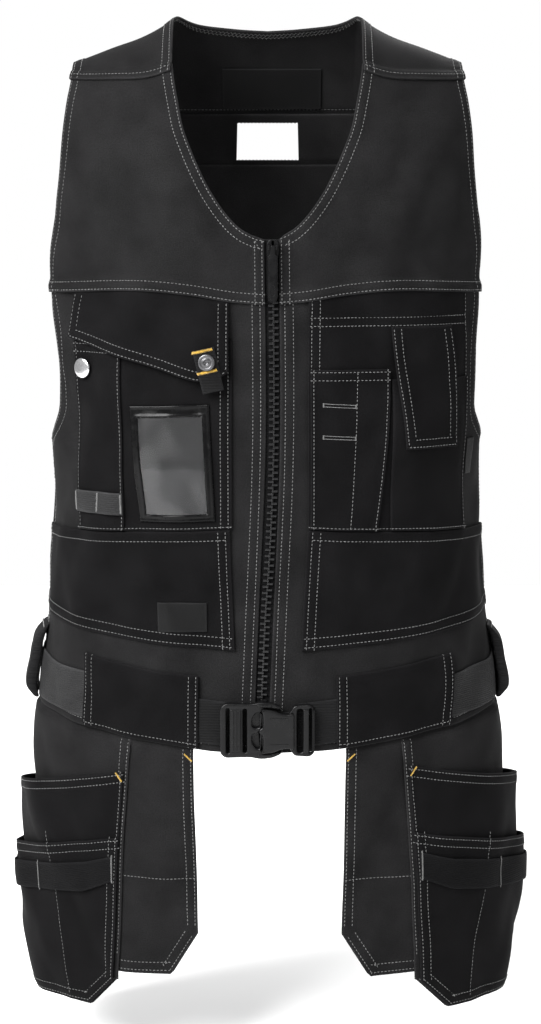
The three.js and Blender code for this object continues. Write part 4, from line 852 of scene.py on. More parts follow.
CANVAS = cloth_material("canvas", (0.007, 0.0069, 0.0071))
HEAVY_CANVAS = cloth_material("heavy_canvas", (0.0028, 0.0027, 0.0029), yarn=1.1, depth=0.13)
WEBBING = cloth_material("webbing", (0.0045, 0.0045, 0.0047), yarn=1.3, depth=0.14, ribs=2.4,
                         specular=0.06, roughness=0.7)
ELASTIC = cloth_material("elastic", (0.0125, 0.0125, 0.0128), yarn=1.2, depth=0.16, ribs=1.9,
                         specular=0.08, roughness=0.7)
DARK_ELASTIC = cloth_material("dark_elastic", (0.0034, 0.0034, 0.0036), yarn=1.2, depth=0.14, ribs=2.0)
ZIP_TAPE = cloth_material("zip_tape", (0.0045, 0.0045, 0.0047), yarn=0.8, ribs=1.6)
LABEL_CLOTH = cloth_material("label_cloth", (0.0024, 0.0024, 0.0025), yarn=0.5, depth=0.04,
                             specular=0.1, roughness=0.5, sheen=0.03, worn=0.8)
BLACK_PLASTIC = hard_material("black_plastic", (0.0032, 0.0032, 0.0034), roughness=0.32, specular=0.16)
TEETH_PLASTIC = hard_material("tooth_plastic", (0.005, 0.005, 0.0053), roughness=0.28, specular=0.3,
                              marks=0.1)
ZIP_METAL = hard_material("painted_zip_metal", (0.0028, 0.0028, 0.003), roughness=0.3, specular=0.14)
SOFT_VINYL = hard_material("soft_black_vinyl", (0.0016, 0.0016, 0.0017), roughness=0.26, specular=0.11,
                           grain=0.2)
DARK_METAL = hard_material("dark_metal", (0.085, 0.085, 0.088), metallic=0.85, roughness=0.36)
STEEL = hard_material("steel", (0.6, 0.6, 0.61), metallic=1.0, roughness=0.22, marks=0.12, bump=0.01)
CLEAR_VINYL = pane_material()
CARD = card_material()
THREAD_MATERIALS = {
    "grey": thread_material("grey_thread", (0.072, 0.072, 0.071)),
    "dark": thread_material("dark_thread", (0.014, 0.014, 0.0142)),
    "yellow": thread_material("yellow_thread", (0.34, 0.2, 0.01)),
}


# Thread: small rounded stitches that lie on the cloth
THREAD_SIDES = 4
THREAD_LIFT = 0.12
STITCH_PITCH = 3.4
STITCH_LENGTH = 2.1
STITCH_WIDTH = 0.8
THREADS = {}


class Thread:
    """Stitches of one colour that make one mesh."""

    def __init__(self):
        self.middles = []
        self.alongs = []
        self.outs = []
        self.sizes = []

    def add(self, middles, alongs, outs, length, width):
        self.middles.append(middles)
        self.alongs.append(alongs)
        self.outs.append(outs)
        self.sizes.append(np.tile([length, width], (len(middles), 1)))

    def build(self, name, material):
        if not self.middles:
            return None
        middles = np.concatenate(self.middles)
        alongs = unit(np.concatenate(self.alongs))
        outs = unit(np.concatenate(self.outs))
        sizes = np.concatenate(self.sizes)
        asides = unit(np.cross(outs, alongs))
        outs = np.cross(alongs, asides)
        sides = THREAD_SIDES
        rings = [(-0.5, 0.45, -0.25), (0.0, 1.0, 0.15), (0.5, 0.45, -0.25)]
        points = []
        for along, thick, rise in rings:
            for corner in range(sides):
                turn = 2 * math.pi * corner / sides
                points.append((
                    along,
                    0.5 * thick * math.cos(turn),
                    0.5 * thick * math.sin(turn) + 0.4 * rise,
                ))
        points = np.array(points)
        vertices = (
            middles[:, None]
            + alongs[:, None] * (points[None, :, 0] * sizes[:, :1])[..., None]
            + asides[:, None] * (points[None, :, 1] * sizes[:, 1:])[..., None]
            + outs[:, None] * (points[None, :, 2] * sizes[:, 1:])[..., None]
        )
        faces = []
        for ring in range(len(rings) - 1):
            for corner in range(sides):
                after = (corner + 1) % sides
                low = ring * sides
                faces.append([low + corner, low + after, low + sides + after, low + sides + corner])
        quads = np.array(faces)
        caps = np.array([list(range(sides))[::-1], [2 * sides + corner for corner in range(sides)]])
        starts = np.arange(len(middles))[:, None, None] * len(points)
        walls = (quads[None] + starts).reshape(-1, 4).tolist()
        ends = (caps[None] + starts).reshape(-1, sides).tolist()
        return new_object(name, vertices.reshape(-1, 3), walls + ends, material)


def thread(group, colour="grey"):
    return THREADS.setdefault((group, colour), Thread())


def path_lengths(place):
    """Length along a path of places, up to each of them."""
    return np.concatenate([[0], np.cumsum(np.linalg.norm(np.diff(place, axis=0), axis=1))])


def path_values(where, lengths, values):
    """Values of a path at some lengths along it."""
    return np.stack([np.interp(where, lengths, values[:, axis]) for axis in range(3)], 1)


def sew_places(group, place, normal, pitch=STITCH_PITCH, length=STITCH_LENGTH, width=STITCH_WIDTH,
               colour="grey", zigzag=0.0):
    """A row of stitches along a path of places, with the outward directions there."""
    place = place + normal * THREAD_LIFT
    lengths = path_lengths(place)
    count = int(lengths[-1] / pitch)
    if count < 1:
        return
    at = (np.arange(count) + 0.5) * lengths[-1] / count
    along = path_values(at + 0.6, lengths, place) - path_values(at - 0.6, lengths, place)
    out = path_values(at, lengths, normal)
    if zigzag:
        aside = unit(np.cross(out, along))
        along = unit(along) + aside * np.where(np.arange(count) % 2, 1.2, -1.2)[:, None]
        length = zigzag * 1.5
    thread(group, colour).add(path_values(at, lengths, place), along, out, length, width)


def sew(group, cloth, arc, height, **looks):
    """A row of stitches on a cloth piece, along a line of arcs and heights."""
    place, normal = cloth.surface(arc, height)
    sew_places(group, place, normal, **looks)


def sew_edge(group, cloth, edge, first=0.0, last=1.0, rows=None):
    for inset in rows or cloth.sewn[edge]:
        sew(group, cloth, *cloth.edge_line(edge, inset, first, last))


def sew_edges(group, cloth):
    for edge in cloth.sewn:
        sew_edge(group, cloth, edge)


def sew_level(place, normal, away, distance, picked, axis, reverse=False, **looks):
    """Stitches where a grid's distance field has one value, found along each column or row."""
    places = []
    normals = []
    for number in picked:
        line = (number, slice(None)) if axis == 1 else (slice(None), number)
        field = away[line]
        points = place[line]
        outs = normal[line]
        if reverse:
            field, points, outs = field[::-1], points[::-1], outs[::-1]
        start = int(np.argmin(np.abs(field)))
        field, points, outs = field[start:], points[start:], outs[start:]
        if len(field) < 2 or field[-1] < distance:
            continue
        places.append([np.interp(distance, field, points[:, k]) for k in range(3)])
        normals.append([np.interp(distance, field, outs[:, k]) for k in range(3)])
    if len(places) > 2:
        sew_places("yoke", np.array(places), np.array(normals), **looks)


def straight(start, end, count=60):
    """Arcs and heights of a straight line between two places."""
    share = np.linspace(0, 1, count)
    return mix(start[0], end[0], share), mix(start[1], end[1], share)


def bartack(group, cloth, start, end, width=2.4, colour="grey"):
    """A dense bar of thread that locks a seam's end."""
    place, normal = cloth.surface(*straight(start, end), 0.35)
    lengths = path_lengths(place)
    count = max(int(lengths[-1] / 0.55), 2)
    at = (np.arange(count) + 0.5) * lengths[-1] / count
    middle = path_values(at, lengths, place)
    out = path_values(at, lengths, normal)
    along = np.broadcast_to(place[-1] - place[0], middle.shape)
    aside = np.cross(out, along)
    zigzag = unit(aside) + 0.35 * unit(along) * np.where(np.arange(count) % 2, 1, -1)[:, None]
    thread(group, colour).add(middle, zigzag, out, width, 0.8)


# Pieces of cloth
def zip_edge(side):
    return lambda height: side * zip_line(height) + ZIP_OPENING / 2


def neck_edge(side):
    def edge(height):
        height = np.asarray(height, float)
        share = curve_at(NECK_ROWS, -height / NECK_DROP)
        round_neck = np.maximum(arc_of_x(NECK_HALF_WIDTH * share, height), zip_edge(side)(height))
        return np.where(-height >= NECK_DROP, zip_edge(side)(height), round_neck)
    return edge


def shifted(line, amount):
    return lambda at: line(at) + amount


def chest_seam(arc):
    return chest_seam_height(x_of_arc(arc))


def swell_over(start, end, top, bottom, amount):
    """A bulge that is highest in the middle of an area and flat at its edges."""
    def swell(arc, height):
        across = limited((arc - start(height)) / (end(height) - start(height)))
        down = limited((top(arc) - height) / (top(arc) - bottom(arc)))
        return amount * np.sin(np.pi * across) * np.sin(np.pi * down)
    return swell


def dress(cloth, node, material, keep=None):
    cloth.build(material, keep)
    declare(cloth.piece, node, cloth.flat)
    return cloth


def carry(piece, node=None, body="vest"):
    """Says which body carries a piece and the CAD node that it stands for."""
    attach(piece, body)
    if node:
        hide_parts(node)


def declare(piece, node, flat):
    """Carries a sheet on the vest and hides the CAD node that it stands for; flat, its flat width,
    length and area, is not used.
    """
    carry(piece, node)


def add_front(name, side):
    pocketed = lambda arc: smooth_step((arc - 27.0) / 6.0) * smooth_step((197.0 - arc) / 6.0)
    lap = lambda arc, height: ((LAP_RISE + 2.2 * pocketed(arc))
                               * smooth_step((chest_seam(arc) + 9.0 - height) / 10.0))
    upper = Cloth(
        f"front_upper_{name}_cloth", neck_edge(side), front_edge_arc,
        shifted(lambda arc: shoulder_seam_height(x_of_arc(arc)), -0.25),
        shifted(chest_seam, 0.25 - SEAM_LAP),
        side=side, inner=lap, seed=11 + side, noise=0.8,
        sewn={"start": (2.2, 9.2), "end": (2.2, 9.2), "bottom": (2.0, 9.2)},
    )
    dress(upper, f"front_upper_{name}", CANVAS)
    lower = Cloth(
        f"front_lower_{name}_cloth", zip_edge(side), shifted(front_edge_arc, -0.25),
        shifted(chest_seam, -0.25), hem_height, side=side, seed=21 + side, noise=0.4,
        sewn={"start": (4.6, 12.0), "end": (2.2, 9.2), "bottom": (6.5,)},
    )
    dress(lower, f"front_lower_{name}", CANVAS)
    for cloth in (upper, lower):
        sew_edges(f"front_{name}", cloth)


def rectangle(left, right, low, high):
    return [(left, low), (right, low), (right, high), (left, high)]


def add_back():
    start = shifted(back_edge_arc, SEAM_GAP / 2)
    end = lambda height: 2 * half_arc(height) - start(height)
    seam = -BACK_YOKE_DROP - VENT_BAND_HEIGHT

    def beyond_window(arc, height):
        """Distance past the window's edge, less than 0 inside it."""
        return np.maximum(np.abs(arc - half_arc(height)) - VENT_WINDOW_WIDTH / 2,
                          np.abs(height - VENT_WINDOW_MIDDLE) - VENT_WINDOW_HEIGHT / 2)
    band_lap = lambda arc, height: LAP_RISE * smooth_step((seam + 7.0 - height) / 8.0)
    rim = lambda arc, height: 0.6 * smooth_step(1 - beyond_window(arc, height) / 5.0)
    band = Cloth(
        "back_vent_band_cloth", start, end, always(-BACK_YOKE_DROP - 0.25), always(seam - SEAM_LAP),
        inner=band_lap, seed=31, reliefs=(rim,), step=1.5, noise=0.2,
        sewn={"top": (2.0, 9.0), "bottom": (2.0, 9.0), "start": (2.2, 9.2), "end": (2.2, 9.2)},
    )
    dress(band, "back_vent_band", CANVAS,
          keep=lambda arc, height: beyond_window(arc, height) >= 0)
    lower = Cloth(
        "back_lower_cloth", start, end, always(seam - 0.25), hem_height, seed=33, noise=0.8, step=4.2,
        sewn={"top": (2.0, 9.0), "start": (2.2, 9.2), "end": (2.2, 9.2), "bottom": (6.5,)},
    )
    dress(lower, "back_lower", CANVAS)
    for cloth in (band, lower):
        sew_edges("back", cloth)
    middle = float(half_arc(-88.0))
    for inset in (2.2, 5.4):
        wide = VENT_WINDOW_WIDTH / 2 + inset
        tall = VENT_WINDOW_HEIGHT / 2 + inset
        corners = rectangle(middle - wide, middle + wide, VENT_WINDOW_MIDDLE - tall,
                            VENT_WINDOW_MIDDLE + tall)
        for here, after in closed_pairs(corners):
            sew("back", band, *straight(here, after))


def add_yoke():
    """Both shoulder straps and the back yoke, on a grid of x and climb."""
    strap = 1 - line_shares(90.0, 2.8)
    inner_neck = -line_shares(170.0, 2.8)[1:-1] * 2 + 1
    columns = [(-1, 1 - share, None) for share in strap]
    columns += [(-1, None, share) for share in inner_neck]
    columns += [(1, 1 - share, None) for share in strap[::-1]]
    ways = np.array([way for way, _, _ in columns], float)[:, None]
    is_strap = np.array([share is not None for _, share, _ in columns])[:, None]
    shares = np.array([share if share is not None else 0 for _, share, _ in columns])[:, None]
    necks = np.array([neck if neck is not None else 0 for _, _, neck in columns])[:, None]
    front_rows = line_shares(80.0, 2.8)
    back_rows = line_shares(110.0, 2.8)
    rows = np.concatenate([front_rows, 1 + back_rows[1:]])[None, :]
    lap = SEAM_LAP / CHEST_SEAM_DROP

    def x_at(height):
        strap_x = ways * mix(armhole_x(height), NECK_HALF_WIDTH, shares)
        return np.where(is_strap, strap_x, -necks * NECK_HALF_WIDTH + 0 * height)

    x = x_at(np.zeros((len(columns), rows.shape[1])))
    for _ in range(SETTLE_ROUNDS):
        neck = curve_at(BACK_NECK_ROWS, np.abs(x) / NECK_HALF_WIDTH)
        ridge = np.where(is_strap, 1.0, neck)
        front_seam = climb_of_height(x, shoulder_seam_height(x), False)
        front_seam = front_seam + 0.5 / CHEST_SEAM_DROP - lap * 1.6
        back_seam = climb_of_height(x, -BACK_YOKE_DROP + 0.25 - SEAM_LAP, True)
        climb = np.where(rows < 1, mix(front_seam, 1.0, rows), mix(ridge, back_seam, rows - 1))
        x = x_at(shoulder_place(x, climb)[..., 2])
    place, normal = shoulder_frame(x, climb)

    # Lengths along the cloth, and distances from each of its edges
    steps = np.linalg.norm(np.diff(place, axis=1), axis=2)
    along = np.concatenate([np.zeros((len(columns), 1)), np.cumsum(steps, axis=1)], axis=1)
    across_steps = np.linalg.norm(np.diff(place, axis=0), axis=2)
    across = np.concatenate([np.zeros((1, rows.shape[1])), np.cumsum(across_steps, axis=0)], axis=0)
    first_back = len(front_rows) - 1
    neck_first = len(strap) - 1
    neck_last = len(columns) - len(strap)
    from_ridge = along - along[:, first_back:first_back + 1]
    from_left = across[neck_first:neck_first + 1] - across
    from_right = across - across[neck_last:neck_last + 1]
    strap_edge = np.minimum(np.abs(from_left), np.abs(from_right))
    number = np.arange(len(columns))[:, None]
    in_neck = (number > neck_first) & (number < neck_last)
    beside_neck = np.where(rows < 1, strap_edge, np.hypot(strap_edge, np.maximum(from_ridge, 0)))
    borders = {
        "neck": np.where(in_neck, from_ridge, beside_neck),
        "front": np.where(in_neck, 999.0, along),
        "back": along[:, -1:] - along,
        "arm": np.minimum(across, across[-1:] - across),
    }
    edge = nearest(borders)
    lap_share = lambda away: 1 - smooth_step((away - 4) / 9.0)
    inner = (LAP_RISE * lap_share(borders["front"]) + LAP_RISE * lap_share(borders["back"])
             + wrinkles(x, along, 41, 0.35) * smooth_step(edge / 14))
    outer = inner + CLOTH_WALL
    sewn = {"neck": (2.2, 9.2), "arm": (2.2, 9.2), "front": (5.6,), "back": (2.0, 9.2)}
    for border, lines in sewn.items():
        away = borders[border]
        outer = outer + 0.7 * smooth_step((11.4 - away) / 1.6)
        outer = outer + seam_shape(away, along if border in ("neck", "arm") else x, lines, 43)
    kept = np.ones((len(columns) - 1, rows.shape[1] - 1), bool)
    kept[neck_first:neck_last, :first_back] = False
    layers = [place + normal * inner[..., None], place + normal * outer[..., None]]
    piece = wall_object("yoke_cloth", layers, kept, x, along - 200, edge, CANVAS, 1)
    declare(piece, "yoke", cut_size(x, -along, kept))

    # Thread rows follow lines of equal distance from each edge
    outside = (layers[1], normal)
    inside = (layers[0], -normal)
    every_column = range(len(columns))
    every_row = range(rows.shape[1])
    neck_columns = range(neck_first, neck_last + 1)
    front_part = range(0, first_back + 2)
    for strap_columns in (range(0, neck_first + 1), range(neck_last, len(columns))):
        sew_level(*outside, along, 5.6, strap_columns, axis=1)
    for distance in (2.0, 9.2):
        sew_level(*outside, borders["back"], distance, every_column, axis=1, reverse=True)
        sew_level(*outside, from_ridge, distance, neck_columns, axis=1)
    for distance in (2.2, 9.2):
        sew_level(*outside, across, distance, every_row, axis=0)
        sew_level(*outside, across[-1:] - across, distance, every_row, axis=0, reverse=True)
        sew_level(*outside, from_left, distance, front_part, axis=0, reverse=True)
        sew_level(*outside, from_right, distance, front_part, axis=0)
    # Overlocked edge on the inside, under the back neckline
    for distance in (3.6, 7.0):
        sew_level(*inside, from_ridge, distance, neck_columns, axis=1, pitch=1.9, zigzag=2.6,
                  colour="dark")
    for distance in (2.0, 9.2):
        sew_level(*inside, borders["back"], distance, every_column, axis=1, reverse=True,
                  colour="dark")


def add_neck_label():
    """The bare label inside the back yoke."""
    wide, tall = 93.0, 37.0
    columns = line_shares(wide, 2.0)[:, None]
    rows = line_shares(tall, 2.0)[None, :]
    x = 4.0 + wide * (columns - 0.5) + 0 * rows
    height = -20.0 - tall * rows + 0 * columns
    place, normal = shoulder_frame(x, climb_of_height(x, height, True))
    edge = np.minimum(np.minimum(x - x[0, 0], x[-1, 0] - x),
                      np.minimum(height[0, 0] - height, height - height[0, -1]))
    bow = 0.35 * wrinkles(x, height, 47) * smooth_step(edge / 8)
    layers = [place + normal * (depth + bow)[..., None] for depth in (-0.7, -1.7)]
    kept = np.ones((len(columns) - 1, rows.shape[1] - 1), bool)
    piece = wall_object("neck_label_cloth", layers, kept, x, height, edge, LABEL_CLOTH, -1)
    declare(piece, "neck_label", cut_size(x, height, kept))


for side_name, side_sign in SIDES.items():
    add_front(side_name, side_sign)
add_back()
add_yoke()
add_neck_label()


# Pockets, belt and holsters
def add_left_chest():
    """Chest pocket, pen pocket and pen loops, flap and strap, clear-window holder; gives the strap."""
    start, end = always(CHEST_POCKET_INSET), always(CHEST_POCKET_INSET + CHEST_POCKET_WIDTH - 5.0)
    top = always(-262.5)
    bottom = shifted(pocket_split_height, 0.25)
    swell = swell_over(start, end, top, bottom, 4.0)
    pocket = Cloth("chest_pocket_left_cloth", start, end, top, bottom, side=-1, wall=POCKET_WALL,
                   inner=lambda arc, height: lift(0) + swell(arc, height), seed=51, noise=0.8,
                   sewn={"start": (3.7, 10.3), "end": (2.6,), "bottom": (2.2,)})
    dress(pocket, "chest_pocket_left", HEAVY_CANVAS)
    sew_edges("chest_left", pocket)
    pen_inner = lambda arc, height: lift(1) + swell(arc, height)
    pen_bulge = lambda arc: 0.8 * np.sin(np.pi * limited((arc - 129) / 52))
    pen = Cloth("pen_pocket_left_cloth", always(129.0), end, always(-266.0),
                shifted(pocket_split_height, 0.5), side=-1, wall=POCKET_WALL,
                inner=lambda arc, height: pen_inner(arc, height) + pen_bulge(arc),
                follow=pocket, seed=53, noise=0.4,
                sewn={"start": (2.0,), "end": (2.6,), "top": (2.2, 9.4), "bottom": (2.0,)})
    dress(pen, "pen_pocket_left", HEAVY_CANVAS)
    sew_edges("chest_left", pen)
    bartack("chest_left", pen, (130.8, -267.5), (130.8, -276.5), 2.2)
    loop_bow = lambda arc: 1.8 * np.abs(np.sin(np.pi * (arc - 129.3) / 25.7))
    loops = Cloth("pen_loops_left_cloth", always(129.3), always(180.7), always(-401.0), always(-421.0),
                  side=-1, wall=POCKET_WALL, turned=0, noise=0.15, seed=55, follow=pen,
                  inner=lambda arc, height: pen_inner(arc, height) + 2.4 + loop_bow(arc))
    dress(loops, "pen_loops_left", ELASTIC)
    for arc in (130.5, 155.0, 179.5):
        bartack("chest_left", loops, (arc, -402.5), (arc, -419.5), 2.2)
    strap = add_left_flap()
    add_id_holder(pocket, pen_inner)
    return strap


def add_left_flap():
    """The flap of the left chest pocket and its short webbing strap."""
    low = 299.0
    start = always(34.0)
    end = lambda height: 181.0 + 0.1 * (-height - CHEST_SEAM_DROP)
    top = lambda arc: chest_seam(arc) + 1.0
    bottom = lambda arc: -mix(262.0, low, curve_at(FLAP_ROWS, (arc - 34.0) / 152.0))
    inner = lambda arc, height: lift(0) + 7.0 * limited((top(arc) - height) / (top(arc) + low) / 0.75)
    flap = Cloth("flap_left_cloth", start, end, top, bottom, side=-1, wall=POCKET_WALL + 0.5,
                 inner=inner, seed=57, noise=0.7,
                 sewn={"start": (2.0, 8.8), "end": (2.0, 8.8), "bottom": (2.0, 8.8)})
    dress(flap, "flap_left", HEAVY_CANVAS)
    for edge, first, outer_last, inner_first, inner_last in (
            ("bottom", 0.012, 0.985, 0.06, 0.955),
            ("start", 0.1, 0.97, 0.1, 0.88),
            ("end", 0.15, 0.97, 0.15, 0.78)):
        sew_edge("chest_left", flap, edge, first, outer_last, rows=(2.0,))
        sew_edge("chest_left", flap, edge, inner_first, inner_last, rows=(8.8,))

    slant = lambda height: -9.0 * (-height - 268.0) / 40.0
    rise = lambda arc: -9.0 * (arc - 46.0) / 40.0
    strap = Cloth("flap_strap_cloth", lambda height: 46.0 + slant(height),
                  lambda height: 65.0 + slant(height), lambda arc: -268.0 + rise(arc),
                  lambda arc: -308.0 + rise(arc), side=-1, wall=WEBBING_WALL,
                  inner=lambda arc, height: inner(arc, height) + POCKET_WALL + CLEARANCE + 0.5,
                  turned=0, noise=0.1, seed=59, step=1.6, follow=flap)
    dress(strap, "flap_strap", WEBBING)
    bartack("chest_left", strap, (47.5, -270.2), (64.5, -274.0), 2.8, "yellow")
    bartack("chest_left", strap, (43.6, -288.5), (60.0, -292.4), 2.8, "yellow")
    return strap


def add_id_holder(pocket, inner):
    """The vinyl frame, its clear pane and the grey sheet behind the pane."""
    slant = lambda height: -5.0 * (-height - 319.0) / 105.0
    start = lambda height: 51.0 + slant(height)
    end = lambda height: start(height) + 71.0 + 0.4 * slant(height)
    top = lambda arc: -319.0 - 0.04 * (arc - 51.0)
    bottom = lambda arc: top(arc) - 105.0

    def beyond_window(arc, height):
        """Distance past the window's edge, less than 0 inside it."""
        return np.maximum.reduce([start(height) + 6.5 - arc, arc - end(height) + 6.5,
                                  height - top(arc) + 11.0, bottom(arc) + 6.5 - height])

    def welt(arc, height):
        """The frame is thicker along both its edges and has a slot above the window."""
        near = beyond_window(arc, height)
        border = np.minimum.reduce([arc - start(height), end(height) - arc, top(arc) - height,
                                    height - bottom(arc)])
        slot = np.maximum(np.abs(height - top(arc) + 5.6) - 3.6, np.abs(arc - 86.0) - 27.0)
        return (0.8 * np.exp(-((near - 1.4) / 1.0) ** 2) + 0.6 * np.exp(-((border - 1.4) / 0.8) ** 2)
                - 0.5 * smooth_step(-slot / 0.8))

    holder = Cloth("id_frame_cloth", start, end, top, bottom, side=-1, wall=POCKET_WALL, inner=inner,
                   seed=61, noise=0.1, step=1.1, reliefs=(welt,), follow=pocket, turned=0)
    dress(holder, "id_frame", SOFT_VINYL,
          keep=lambda arc, height: beyond_window(arc, height) >= 0)
    pane = Cloth("id_pane_sheet", shifted(start, 5.0), shifted(end, -5.0), shifted(top, -9.5),
                 shifted(bottom, 5.0), side=-1, wall=0.3, follow=pocket,
                 inner=lambda arc, height: inner(arc, height) + 0.9, seed=63, noise=0.25, turned=0)
    dress(pane, "id_pane", CLEAR_VINYL)
    card = Cloth("id_card_pocket_back", shifted(start, 4.0), shifted(end, -4.0), shifted(top, -8.5),
                 shifted(bottom, 4.0), side=-1, wall=0.3, follow=pocket,
                 inner=lambda arc, height: inner(arc, height) + 0.1, seed=64, noise=0.1, turned=0)
    dress(card, None, CARD)


def add_lower_pocket(name, side):
    """The wide pocket below the chest pockets, on the left with a bare label."""
    end = lambda height: side_arc(height) - 3.0
    top = shifted(pocket_split_height, -0.25)
    bottom = lambda arc: -543.0 + 26.0 * limited(arc / side_arc(-543.0)) ** 1.4
    first, last, rows = (33.0, 29.0, (4.4, 11.0)) if side < 0 else (36.0, 30.0, (4.5, 11.5))
    start = lambda height: mix(first, last, limited((-height - 430.0) / 113.0))
    swell = swell_over(start, end, top, bottom, 3.0)
    pocket = Cloth(f"lower_pocket_{name}_cloth", start, end, top, bottom, side=side, wall=POCKET_WALL,
                   inner=lambda arc, height: lift(0) + swell(arc, height), seed=71 + side, noise=0.9,
                   sewn={"start": rows, "end": (2.2, 9.2), "bottom": (3.0, 11.0), "top": (9.0,)})
    dress(pocket, f"lower_pocket_{name}", HEAVY_CANVAS)
    for edge in ("start", "end", "bottom"):
        sew_edge(f"lower_{name}", pocket, edge, 0.01, 0.99)
    sew_edge(f"lower_{name}", pocket, "top", 0.02, 0.98)
    if side < 0:
        label = Cloth("pocket_label_cloth", always(54.0), always(97.0), always(-498.0), always(-525.0),
                      side=-1, wall=LABEL_WALL, inner=lambda arc, height: lift(1) + swell(arc, height),
                      seed=73, noise=0.1, turned=0, follow=pocket)
        dress(label, "pocket_label", LABEL_CLOTH)


def add_right_chest():
    """Map pocket, pen pocket, phone pocket with its flap, and the bare side tab."""
    start = always(36.0)
    end = always(191.0)
    top = shifted(chest_seam, 1.0)
    bottom = shifted(pocket_split_height, 0.25)
    swell = swell_over(always(34.0), end, top, bottom, 1.0)
    hem_step = lambda arc, height: (0.7 * smooth_step((height + 240.9) / 1.4)
                                    - 0.3 * np.exp(-((height + 243.3) / 1.2) ** 2))
    chart = Cloth("map_pocket_cloth", start, end, top, bottom, wall=POCKET_WALL,
                  inner=lambda arc, height: lift(0) + swell(arc, height), seed=81, noise=0.7,
                  sewn={"start": (3.2, 10.2), "end": (2.2,), "bottom": (2.2,)}, reliefs=(hem_step,))
    dress(chart, "map_pocket", HEAVY_CANVAS)
    sew_edges("chest_right", chart)
    for height in (-243.3, -250.6):
        sew("chest_right", chart, *straight((37.0, height), (190.0, height), 300))
    inner = lambda arc, height: lift(1) + swell(arc, height)
    pens_end = lambda height: 108.5 - 10.0 * limited((-height - 291.0) / 139.0) ** 2.0
    pens_bulge = lambda arc: 0.9 * np.abs(np.sin(np.pi * (arc - 38) / 41.5))
    pens = Cloth("pen_pocket_right_cloth", always(38.0), pens_end, always(-289.0),
                 shifted(pocket_split_height, 0.5), wall=POCKET_WALL, seed=83, noise=0.5, follow=chart,
                 inner=lambda arc, height: inner(arc, height) + pens_bulge(arc),
                 sewn={"top": (2.4, 9.6), "end": (2.4,), "start": (3.0,), "bottom": (2.0,)})
    dress(pens, "pen_pocket_right", HEAVY_CANVAS)
    sew_edges("chest_right", pens)
    seam_height = np.linspace(-291.0, -432.0, 200)
    seam_lean = 6.5 * limited((-seam_height - 330.0) / 102.0) ** 1.5
    sew("chest_right", pens, 79.5 - seam_lean, seam_height)
    for height in (-319.0, -347.5):
        for drop in (0.0, 2.6):
            slot_edge = straight((49.5, height - drop), (78.5, height - 1.8 - drop))
            sew("chest_right", pens, *slot_edge, pitch=1.5, length=1.9, width=0.7)
        for arc, lean in ((49.5, 0.0), (78.5, 1.8)):
            bartack("chest_right", pens, (arc, height + 0.6 - lean), (arc, height - 3.2 - lean), 1.6)

    phone_start, phone_top = always(110.5), always(-298.0)
    phone_bottom = shifted(pocket_split_height, 0.5)
    phone_swell = swell_over(phone_start, end, phone_top, phone_bottom, 6.0)
    phone_inner = lambda arc, height: inner(arc, height) + phone_swell(arc, height)
    phone = Cloth("phone_pocket_cloth", phone_start, end, phone_top, phone_bottom, wall=POCKET_WALL,
                  inner=phone_inner, seed=85, noise=0.6, follow=chart,
                  sewn={"end": (2.4,), "bottom": (2.2,)})
    dress(phone, "phone_pocket", HEAVY_CANVAS)
    sew_edges("chest_right", phone)
    slant = lambda height: 10.0 * (-height - 255.0) / 110.0
    raised = lambda height: 2.3 * limited((-height - 255.0) / 110.0 / 0.36)
    flap = Cloth("phone_flap_cloth", lambda height: 110.0 + 1.1 * slant(height),
                 lambda height: 169.5 + 0.45 * slant(height), always(-251.5), always(-360.5),
                 wall=POCKET_WALL + 0.4, seed=87, noise=0.3, follow=phone,
                 inner=lambda arc, height: phone_inner(arc, height) + raised(height),
                 sewn={"start": (2.0, 8.6), "end": (2.0, 8.6), "bottom": (2.0, 8.6)})
    dress(flap, "phone_flap", HEAVY_CANVAS)
    for edge in ("start", "end"):
        sew_edge("chest_right", flap, edge, 0.02, 0.97, rows=(2.0,))
        sew_edge("chest_right", flap, edge, 0.02, 0.91, rows=(8.6,))
    sew_edge("chest_right", flap, "bottom", 0.03, 0.97, rows=(2.0,))
    sew_edge("chest_right", flap, "bottom", 0.13, 0.87, rows=(8.6,))
    tab = Cloth("side_tab_cloth", always(197.0), always(208.0), always(-356.0), always(-389.0),
                wall=LABEL_WALL, inner=lift(0) + 0.3, seed=89, noise=0.1, turned=0)
    dress(tab, "side_tab", LABEL_CLOTH)


